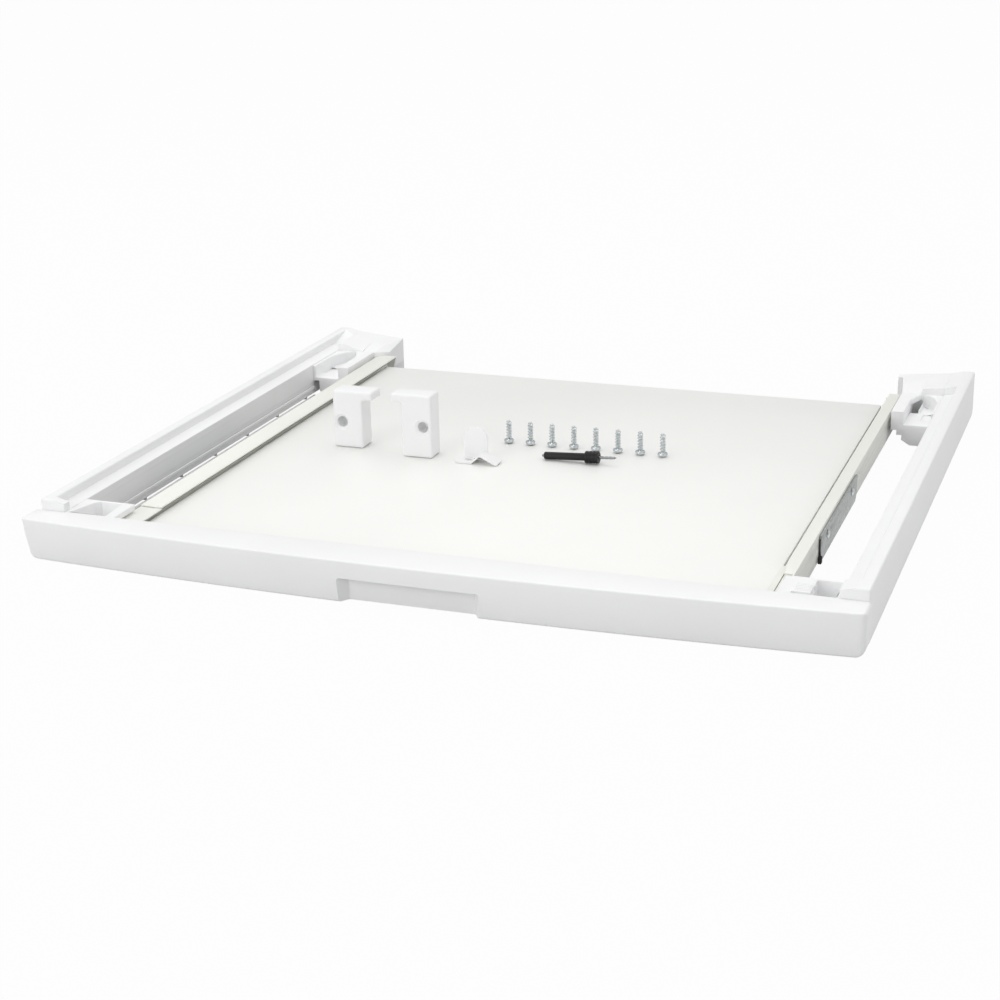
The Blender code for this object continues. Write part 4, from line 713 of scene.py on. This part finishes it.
def make_bit(place, turn):
    """The twisted drill bit: two flutes ahead of the collar, and a point."""
    around, count = 20, 90
    point_length, rear_share, twist, flute_depth = 0.0018, 0.75, 900.0, 0.42
    start, end = -SLEEVE_LENGTH - 0.0020, COLLAR_LENGTH + 0.0142
    rings = [[place + Vector((start, 0, 0))]]
    for step in range(count + 1):
        along = start + (end - start - 0.0006) * step / count
        fluted = max(0.0, min(1.0, (along - COLLAR_LENGTH + 0.001) / 0.001))
        shrink = min(1.0, (end - along) / point_length) if step else rear_share
        ring = []
        for part in range(around):
            angle = 2 * pi * part / around
            wave = max(0.0, cos(2 * (angle - along * twist)))
            radius = BIT_RADIUS * shrink * (1 - flute_depth * fluted * wave ** 1.5)
            ring.append(place + Vector((along, radius * cos(angle), radius * sin(angle))))
        rings.append(ring)
    rings.append([place + Vector((end, 0, 0))])
    bm = skin(bmesh.new(), rings)
    bmesh.ops.rotate(bm, verts=bm.verts, cent=place, matrix=turn)
    finish_piece(new_piece("drill_bit_shape", bm), "drill_bit", smooth_angle=50.0)


def make_drill():
    """The drill lies on its collar's edge and on its sleeve's rear end."""
    tilt = atan2(COLLAR_RADIUS - SLEEVE_RADIUS, SLEEVE_LENGTH)
    place = Vector((0.0029 + SLEEVE_LENGTH, FASCIA_END_Y + 0.2654,
                    SHELF_TOP + CLEAR + COLLAR_RADIUS * cos(tilt)))
    turn = Matrix.Rotation(-tilt, 3, "Y")
    make_sleeve(place, turn)
    make_bit(place, turn)


# The side rails, whose ledge is given by x, its own height and the height that it can rise to

LEDGE = ((0.2800, 0.0300, 0.0356), (0.2910, 0.0318, 0.0386))
LEDGE_SKEW = 0.7
PLATFORM_Y = 0.2290


def ledge_cutter(side, start, end, rise):
    """A cutter above a side rail's ledge; a rise of 1 lifts its far end to the ridge, 0 does not."""
    rings = []
    for x, low, top in LEDGE:
        stop = end + (x - LEDGE[0][0]) * LEDGE_SKEW if rise else end
        rings.append([Vector((side * x, y, z)) for y, z in
                      ((start, low), (stop, low + (top - low) * rise), (stop, OPEN_TOP),
                       (start, OPEN_TOP))])
    return skin(bmesh.new(), rings)


def on_rail_outside(place):
    """Whether a place is on a rail's outer face or its ridge."""
    return abs(place.x) > 0.2999 or (abs(place.x) > 0.2895 and place.z > 0.0375)


def on_rail_inside(place):
    """Whether a place is on a rail's inner wall, between the corner blocks."""
    return abs(place.x) < 0.2815 and place.z > 0.013 and -0.230 < place.y < 0.246


def make_rail(name):
    """A side rail: a soft ridge, a ledge that meets the corner blocks, and strips on its wall."""
    side = SIDES[name]
    node = name + "_side_rail"
    rail = node_copy(node)
    if name == "left":
        cut(rail, ledge_cutter(side, 0.2440, 0.2640, 1.0))
        cut(rail, ledge_cutter(side, -0.2390, -0.22835, 0.0))
    else:
        filled = [(0.2805, 0.0290), (0.2805, 0.0355), (0.2910, 0.0384), (0.2925, 0.0384),
                  (0.2925, 0.0290)]
        cut(rail, prism(bmesh.new(), filled, 1, PLATFORM_Y, 0.2460), "UNION")
    soften_where(rail, 0.0015, 5, on_rail_outside)
    soften_where(rail, 0.0004, 3, on_rail_inside)
    finish_piece(rail, node, smooth_angle=15.3)

    strip_outer, strip_length = 0.2807, (-0.2152, 0.1715)
    strips = {"band": (0.2793, 0.0078, 0.0106), "foot": (0.2788, 0.0003, 0.0021)}
    bm = bmesh.new()
    for inner, low, high in strips.values():
        box(bm, span(side, strip_outer, inner), strip_length, (low, high))
    band = new_piece(node + "_band", bm)
    soften(band, 0.0005, 3)
    finish_piece(band, body=BODY_OF[node], slot=SLOT_OF[node])


# The corner blocks, whose pockets end at their outer wall

AT_PLACE = 0.00002
BLOCK_OUTER_X = 0.2802
RAIL_WALL_X = 0.28045
POCKET_OUTER_X = 0.2787
PAD_IN, PAD_OUT = 0.2495, 0.2612


def block_copy(node, side):
    """A corner block's shape, drawn up to its side rail."""
    block = node_copy(node)
    for vert in block.data.vertices:
        if abs(abs(vert.co.x) - BLOCK_OUTER_X) < AT_PLACE:
            vert.co.x = side * RAIL_WALL_X
    return block


def sink_rail_screw(block, name, end):
    """A rail screw that sits in the wall of its corner block."""
    side = SIDES[name]
    node = name + "_" + end + "_rail_screw"
    low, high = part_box(node)
    middle = (0, (low[1] + high[1]) / 2, (low[2] + high[2]) / 2)
    room = [(radius, side * along) for radius, along in bar(0.0034, 0.2788, 0.2812)]
    cut(block, skin(bmesh.new(), turned_rings(room, middle, 0, 24)))
    profile = [(0, 0.2791), (0.0014, 0.2791), (0.0024, 0.2793), (0.0029, 0.2797),
               (0.0030, 0.2803), (0.0016, 0.2803), (0.0016, 0.2870), (0, 0.2880)]
    rings = turned_rings([(radius, side * along) for radius, along in profile], middle, 0, 24)
    finish_piece(new_piece(node + "_shape", skin(bmesh.new(), rings)), node)


def on_front_block_inside(place):
    """Whether a place is on a front block's own faces, above its foot."""
    return abs(place.x) < 0.2795 and place.z > 0.004


def on_rear_block_inside(place):
    """Whether a place is on a rear block's pocket or platform."""
    return 0.2490 < abs(place.x) < 0.2795 and place.z > 0.016


def make_front_block(name):
    """A front corner block: the left with a wide open pocket, the right with a ribbed pad."""
    side = SIDES[name]
    node = "front_" + name + "_corner_block"
    block = block_copy(node, side)
    front, rear, above = FASCIA_BACK_Y + 0.0025, -0.2181, 0.034
    if name == "left":
        pocket = [(0.2616, front), (0.2616, rear), (0.2500, rear), (0.2482, front)]
        cut(block, prism(bmesh.new(), on_side(side, pocket), 2, 0.0102, above))
        gusset = [(POCKET_OUTER_X, front - 0.0004), (0.2776, front - 0.0004), (0.2706, -0.2205),
                  (0.2690, -0.2190), (0.2668, rear - 0.0002), (0.2668, rear + 0.0002),
                  (POCKET_OUTER_X, rear + 0.0002)]
        cut(block, prism(bmesh.new(), on_side(side, gusset), 2, 0.0098, 0.0299), "UNION")
    else:
        cut(block, box(bmesh.new(), span(side, PAD_IN - 0.0002, PAD_OUT),
                       (front + 0.0032, front + 0.0163), (0.0252, 0.0299)), "UNION")
        cut(block, box(bmesh.new(), span(side, PAD_IN + 0.0006, PAD_OUT + 0.004),
                       (front + 0.0002, front + 0.0030), (0.0140, above)))
    soften_where(block, 0.0007, 2, on_front_block_inside)
    if name == "left":
        sink_rail_screw(block, name, "front")
    finish_piece(block, node)
    if name == "right":
        make_pad_ribs(node, side, front)


def make_pad_ribs(node, side, front):
    """Five low ribs across a front block's pad."""
    first_rib, rib_step, ribs, foot, top = 0.0042, 0.0026, 5, 0.0298, 0.0306
    bm = bmesh.new()
    for index in range(ribs):
        start = front + first_rib + index * rib_step
        outline = [(start, foot), (start + 0.0014, foot), (start + 0.0011, top),
                   (start + 0.0003, top)]
        prism(bm, outline, 0, *span(side, PAD_IN + 0.0008, PAD_OUT - 0.0012))
    finish_piece(new_piece(node + "_ribs", bm), body=BODY_OF[node], slot=SLOT_OF[node])


SCOOP_ARC = {"x": 0.2610, "y": 0.2000, "half_width": 0.0172, "depth": 0.0296, "steps": 12}
RAMPS = {
    "left": ((0.2300, 0.0), (0.2560, 0.0), (0.2760, 1.0)),
    "right": ((0.2300, 0.0), (0.2622, 0.0)),
}
SHOULDER_REAR_Y = 0.2787
SHOULDER_OUTER_X = 0.2480
SHOULDER_FLOOR = 0.0100
SHOULDERS = {
    "left": {
        "rim": [(0.2357, SHOULDER_REAR_Y, 0.0311), (0.2350, 0.2440, 0.0268),
                (0.2445, 0.2300, 0.0293), (SHOULDER_OUTER_X, 0.2300, 0.0293),
                (SHOULDER_OUTER_X, 0.2495, 0.0323), (SHOULDER_OUTER_X, SHOULDER_REAR_Y, 0.0323)],
        "inside": [(0.2418, 0.2455, 0.0317)],
        "lid": ((0, 6, 4, 5), (6, 2, 3, 4), (0, 1, 6), (6, 1, 2)),
    },
    "right": {
        "rim": [(0.2357, SHOULDER_REAR_Y, 0.0311), (0.2357, 0.2712, 0.0311),
                (0.2400, 0.2712, 0.0315), (0.2434, 0.2466, 0.0318), (0.2457, 0.2294, 0.0292),
                (SHOULDER_OUTER_X, 0.2294, 0.0292), (SHOULDER_OUTER_X, 0.2495, 0.0323),
                (SHOULDER_OUTER_X, SHOULDER_REAR_Y, 0.0323)],
        "inside": [],
        "lid": ((0, 1, 2, 3, 6, 7), (3, 4, 5, 6)),
    },
}


def platform_cutter(name, wall_top):
    """A cutter above a rear block's platform, which slopes up to the rear and, on the left, out."""
    front_y, rear_y = PLATFORM_Y - 0.0001, 0.2640
    rings = []
    for x, share in RAMPS[name]:
        low, high = wall_top + 0.00005 + 0.0060 * share, 0.0346 + 0.0010 * share
        rings.append([Vector((SIDES[name] * x, y, z)) for y, z in
                      ((front_y, low), (rear_y, high), (rear_y, OPEN_TOP), (front_y, OPEN_TOP))])
    return skin(bmesh.new(), rings)


def make_rear_block(name):
    """A rear corner block: a scooped foot pocket with a gusset, and a sloped platform behind it."""
    side = SIDES[name]
    node = "rear_" + name + "_corner_block"
    block = block_copy(node, side)
    pocket_floor, wall_top = 0.0185, 0.0292

    scoop = [(POCKET_OUTER_X, PLATFORM_Y + 0.0010), (0.2628, PLATFORM_Y + 0.0010)]
    for step in range(SCOOP_ARC["steps"] + 1):
        angle = radians(84) * (1 - step / SCOOP_ARC["steps"])
        scoop.append((SCOOP_ARC["x"] + SCOOP_ARC["half_width"] * cos(angle),
                      SCOOP_ARC["y"] + SCOOP_ARC["depth"] * sin(angle)))
    scoop.append((POCKET_OUTER_X, 0.1995))
    cut(block, prism(bmesh.new(), on_side(side, scoop), 2, pocket_floor - 0.0003, wall_top),
        "UNION")
    gusset = [(0.2552, 0.2085), (0.2622, PLATFORM_Y + 0.0004), (0.2552, PLATFORM_Y + 0.0004)]
    cut(block, prism(bmesh.new(), on_side(side, gusset), 2, 0.0240, wall_top), "UNION")
    brace = [(PLATFORM_Y + 0.0001, 0.0252), (0.2395, 0.0252), (0.2395, 0.0010), (0.2375, 0.0010)]
    cut(block, prism(bmesh.new(), brace, 0, *span(side, 0.2554, 0.2630)), "UNION")
    cut(block, platform_cutter(name, wall_top))
    soften_where(block, 0.0009, 3, on_rear_block_inside)
    sink_rail_screw(block, name, "rear")
    finish_piece(block, node)
    make_shoulder(name, node)


def make_shoulder(name, node):
    """The shoulder between a rear block's platform and the runner, which falls off inwards."""
    rim, inside = SHOULDERS[name]["rim"], SHOULDERS[name]["inside"]
    bm = bmesh.new()
    upper = [bm.verts.new((SIDES[name] * x, y, z)) for x, y, z in rim + inside]
    lower = [bm.verts.new((SIDES[name] * x, y, SHOULDER_FLOOR)) for x, y, z in rim]
    for corners in SHOULDERS[name]["lid"]:
        bm.faces.new([upper[index] for index in corners])
    for index in range(len(rim)):
        after = (index + 1) % len(rim)
        bm.faces.new((upper[index], upper[after], lower[after], lower[index]))
    bm.faces.new(lower)
    shoulder = new_piece(node + "_shoulder", bm)
    soften(shoulder, 0.0004, 2, 50.0)
    finish_piece(shoulder, body=BODY_OF[node], slot=SLOT_OF[node], smooth_angle=14.0)


# The runners, the stops and the shelf panel

RUNNER_FRONT_Y = -0.2470
RUNNER_REAR_Y = 0.2500
TONGUE_FRONT_Y = -0.2452
FLANGE_END_Y = {"left": -0.2035, "right": -0.2000}
FLANGE_LEFT_X = -0.2256
FLANGE_TOP = 0.030
PANEL_LEFT_X = -0.2270
PANEL_RIGHT_X = 0.2300


def shape_left_flange(runner):
    """Widen the left runner's flange towards the shelf, and end it ahead of the corner block."""
    for vert in runner.data.vertices:
        if vert.co.x > -0.2320 and vert.co.z > 0.022:
            vert.co.x = FLANGE_LEFT_X
    cut(runner, box(bmesh.new(), (-0.2440, -0.2240), (RUNNER_FRONT_Y, FLANGE_END_Y["left"]),
                    (0.0232, FLANGE_TOP)))


def shape_right_flange(runner):
    """Narrow the right runner's flange, taper it to its end, and end it ahead of the block."""
    low, edge_x, tip_x, taper_y, past_y = 0.0216, 0.2337, 0.2360, -0.1760, -0.2050
    end_y = FLANGE_END_Y["right"]
    cut(runner, box(bmesh.new(), (0.2300, 0.2417), (RUNNER_FRONT_Y, end_y), (low, FLANGE_TOP)))
    cut(runner, box(bmesh.new(), (0.2300, edge_x), (RUNNER_FRONT_Y, RUNNER_REAR_Y),
                    (low, FLANGE_TOP)))
    taper = [(0.2330, taper_y), (edge_x, taper_y), (tip_x, end_y), (tip_x, past_y),
             (0.2330, past_y)]
    cut(runner, prism(bmesh.new(), taper, 2, low, FLANGE_TOP))


TONGUES = {
    "left": {
        "ranges": ((-0.2430, FLANGE_LEFT_X), (TONGUE_FRONT_Y, FLANGE_END_Y["left"] - 0.0002),
                   (0.0229, 0.0238)),
        "slits": (),
    },
    "right": {
        "ranges": ((0.2296, 0.2414), (TONGUE_FRONT_Y, -0.1780), (0.0202, 0.0212)),
        "slits": (((0.2341, 0.2349), (-0.2260, -0.1925)), ((0.2388, 0.2395), (-0.2098, -0.1990))),
    },
}
SLIT_HEIGHTS = (0.0190, 0.0220)


def make_runner(name):
    """A fixed runner: its flange stops short of the fascia, and a lower tongue goes on."""
    node = name + "_fixed_runner"
    runner = node_copy(node)
    if name == "left":
        shape_left_flange(runner)
    else:
        shape_right_flange(runner)
    soften(runner, 0.0004)
    finish_piece(runner, node)

    tongue = new_piece(name + "_runner_tongue", box(bmesh.new(), *TONGUES[name]["ranges"]))
    for x_range, y_range in TONGUES[name]["slits"]:
        cut(tongue, box(bmesh.new(), x_range, y_range, SLIT_HEIGHTS))
    finish_piece(tongue, body=BODY_OF[node], slot=SLOT_OF[node])


def make_stop(name):
    """A rubber stop: a thin blade on the edge of the plate, with a round bead at its foot."""
    side = SIDES[name]
    node = name + "_rubber_stop"
    low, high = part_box(node)
    rear, foot = high[1], low[2]
    inner, blade_width, blade_depth, bead_width, bead_high = 0.2434, 0.0007, 0.0012, 0.0024, 0.0050
    blade = box(bmesh.new(), span(side, inner, inner + blade_width), (rear - blade_depth, rear),
                (foot + 0.002, high[2]))
    stop = new_piece(node + "_shape", blade)
    bead = rounded([(rear, foot, 0.0008), (rear, foot + bead_high, 0.0006),
                    (rear - 0.0020, foot + bead_high, 0.0012),
                    (rear - 0.0048, foot + 0.0020, 0.0012), (rear - 0.0046, foot, 0.0007)])
    cut(stop, prism(bmesh.new(), bead, 0, *span(side, inner, inner + bead_width)), "UNION")
    soften(stop, 0.0003, 2, 40.0)
    finish_piece(stop, node)


def on_panel_edge(place):
    """Whether a place is on one of the panel's four edges."""
    return abs(place.x) > 0.2265 or abs(place.y) > 0.2190


def make_panel():
    """The shelf panel, its long edges set to the photograph's and rounded."""
    panel = node_copy("shelf_panel")
    for vert in panel.data.vertices:
        if abs(vert.co.x) > PANEL_RIGHT_X:
            vert.co.x = PANEL_RIGHT_X if vert.co.x > 0 else PANEL_LEFT_X
    soften_where(panel, 0.0006, 2, on_panel_edge)
    finish_piece(panel, "shelf_panel")


# All the pieces

ROUNDED = {
    "left_shelf_runner": 0.0004, "right_shelf_runner": 0.0004,
    "left_runner_plate": 0.0003, "right_runner_plate": 0.0003,
    "front_cross_rail": 0.0003, "rear_cross_rail": 0.0003,
}

for node, item in nodes.items():
    set_material(item, FINISHES[SLOT_OF[node]])
for node, width in ROUNDED.items():
    rounded_copy(node, width)
for name in SIDES:
    make_rail(name)
    make_front_block(name)
    make_rear_block(name)
    make_runner(name)
    make_stop(name)
make_panel()
make_fascia()
for name in SIDES:
    make_bracket(name)
make_clip()
for index in range(LOOSE_SCREWS):
    make_loose_screw(index)
make_drill()


# Floor, light and camera

FLOOR_HALF_SIZE = 6.0
FLOOR_Z = -0.0004
# The floor's colour within the object's outline is painted shade: darker than the floor round it, so
# less light bounces up under the object.
FLOOR_PAINTED_SHADE = 0.37
FLOOR_ROUND = 0.52
FLOOR_GLOW = 0.97
OBJECT_HALF_SIZES = {"X": 0.285, "Y": 0.262}
SKY_HEIGHTS = (-0.1, 0.9)
SKY_STRENGTHS = (0.56, 1.06)
LIGHTS = {
    "overhead_light": {"place": (-0.3, 0.6, 2.1), "target": (0, 0.1, 0), "size": 2.2, "power": 15.0},
    "front_light": {"place": (-1.2, -2.4, 1.0), "target": (0, 0, 0), "size": 1.6, "power": 20.0},
    "right_light": {"place": (2.4, -0.6, 0.8), "target": (0, 0, 0), "size": 1.4, "power": 5.0},
}


def add_floor():
    """A floor that looks white to the camera and keeps the object's shadow; beneath the object its
    colour is painted darker, a painted shade that dims the light bounced onto the object's inner
    walls.
    """
    bm = bmesh.new()
    bmesh.ops.create_grid(bm, x_segments=1, y_segments=1, size=FLOOR_HALF_SIZE)
    floor = new_piece("floor", bm)
    floor.location = (0, 0, FLOOR_Z)
    material = bpy.data.materials.new("floor")
    material.use_nodes = True
    tree = material.node_tree
    tree.nodes.clear()
    link = tree.links.new

    place = add_node(tree, "ShaderNodeTexCoord")
    parts = add_node(tree, "ShaderNodeSeparateXYZ")
    link(place.outputs["Object"], parts.inputs[0])
    widest = add_math(tree, "MAXIMUM", *(
        add_math(tree, "DIVIDE", add_math(tree, "ABSOLUTE", parts.outputs[letter]), half)
        for letter, half in OBJECT_HALF_SIZES.items()))
    # Painted shade: the floor's colour falls from the outer value to the darker one inside the
    # object's outline.
    albedo_with_painted_shade = add_node(tree, "ShaderNodeMapRange", {"From Min": 0.97, "From Max": 1.03,
                                                   "To Min": FLOOR_PAINTED_SHADE, "To Max": FLOOR_ROUND})
    base = add_node(tree, "ShaderNodeBsdfDiffuse")
    link(widest, albedo_with_painted_shade.inputs["Value"])
    link(albedo_with_painted_shade.outputs["Result"], base.inputs["Color"])

    glow = add_node(tree, "ShaderNodeEmission")
    shown = add_node(tree, "ShaderNodeMixShader", {"Fac": FLOOR_GLOW})
    link(base.outputs[0], shown.inputs[1])
    link(glow.outputs[0], shown.inputs[2])
    paths = add_node(tree, "ShaderNodeLightPath")
    either = add_math(tree, "MAXIMUM", paths.outputs["Is Camera Ray"], paths.outputs["Is Glossy Ray"])
    pick = add_node(tree, "ShaderNodeMixShader")
    output = add_node(tree, "ShaderNodeOutputMaterial")
    link(either, pick.inputs["Fac"])
    link(base.outputs[0], pick.inputs[1])
    link(shown.outputs[0], pick.inputs[2])
    link(pick.outputs[0], output.inputs["Surface"])
    set_material(floor, material)


def set_world():
    """White to the camera; for the object, a soft studio that is brighter overhead."""
    world = bpy.data.worlds.new("studio")
    bpy.context.scene.world = world
    world.use_nodes = True
    tree = world.node_tree
    tree.nodes.clear()
    link = tree.links.new

    place = add_node(tree, "ShaderNodeTexCoord")
    parts = add_node(tree, "ShaderNodeSeparateXYZ")
    spread = add_node(tree, "ShaderNodeMapRange",
                      {"From Min": SKY_HEIGHTS[0], "From Max": SKY_HEIGHTS[1],
                       "To Min": SKY_STRENGTHS[0], "To Max": SKY_STRENGTHS[1]})
    sky = add_node(tree, "ShaderNodeBackground")
    link(place.outputs["Generated"], parts.inputs[0])
    link(parts.outputs["Z"], spread.inputs["Value"])
    link(spread.outputs["Result"], sky.inputs["Strength"])

    seen = add_node(tree, "ShaderNodeBackground", {"Color": (1.0, 1.0, 1.0, 1.0)})
    paths = add_node(tree, "ShaderNodeLightPath")
    pick = add_node(tree, "ShaderNodeMixShader")
    output = add_node(tree, "ShaderNodeOutputWorld")
    link(paths.outputs["Is Camera Ray"], pick.inputs["Fac"])
    link(sky.outputs[0], pick.inputs[1])
    link(seen.outputs[0], pick.inputs[2])
    link(pick.outputs[0], output.inputs["Surface"])


def add_light(name, place, target, size, power):
    """A square soft light that faces a point."""
    lamp = bpy.data.lights.new(name, "AREA")
    lamp.size = size
    lamp.energy = power
    item = bpy.data.objects.new(name, lamp)
    item.location = place
    item.rotation_euler = (Vector(target) - Vector(place)).to_track_quat("-Z", "Y").to_euler()
    bpy.context.scene.collection.objects.link(item)


CAMERA_PLACE = (0.47082, -1.36108, 0.48891)
CAMERA_TURN = radians(20.44)
CAMERA_TILT = radians(19.27)
CAMERA_ROLL = radians(-1.27)
CAMERA_NEAR = 0.01
FOCAL_PIXELS = 1917.45
IMAGE_PIXELS = 1000
SENSOR = 36.0


def add_camera():
    """The camera at the photograph's angle."""
    data = bpy.data.cameras.new("camera")
    data.sensor_fit = "HORIZONTAL"
    data.sensor_width = SENSOR
    data.lens = FOCAL_PIXELS * SENSOR / IMAGE_PIXELS
    data.clip_start = CAMERA_NEAR
    camera = bpy.data.objects.new("camera", data)
    forward = Vector((-sin(CAMERA_TURN) * cos(CAMERA_TILT), cos(CAMERA_TURN) * cos(CAMERA_TILT),
                      -sin(CAMERA_TILT)))
    right = Vector((cos(CAMERA_TURN), sin(CAMERA_TURN), 0))
    up = right.cross(forward)
    across = cos(CAMERA_ROLL) * right + sin(CAMERA_ROLL) * up
    above = cos(CAMERA_ROLL) * up - sin(CAMERA_ROLL) * right
    turn = Matrix((across, above, -forward)).transposed()
    camera.matrix_world = Matrix.Translation(CAMERA_PLACE) @ turn.to_4x4()
    bpy.context.scene.collection.objects.link(camera)
    bpy.context.scene.camera = camera


add_floor()
set_world()
for name, light in LIGHTS.items():
    add_light(name, **light)
add_camera()

scene = bpy.context.scene
scene.view_settings.view_transform = "Standard"
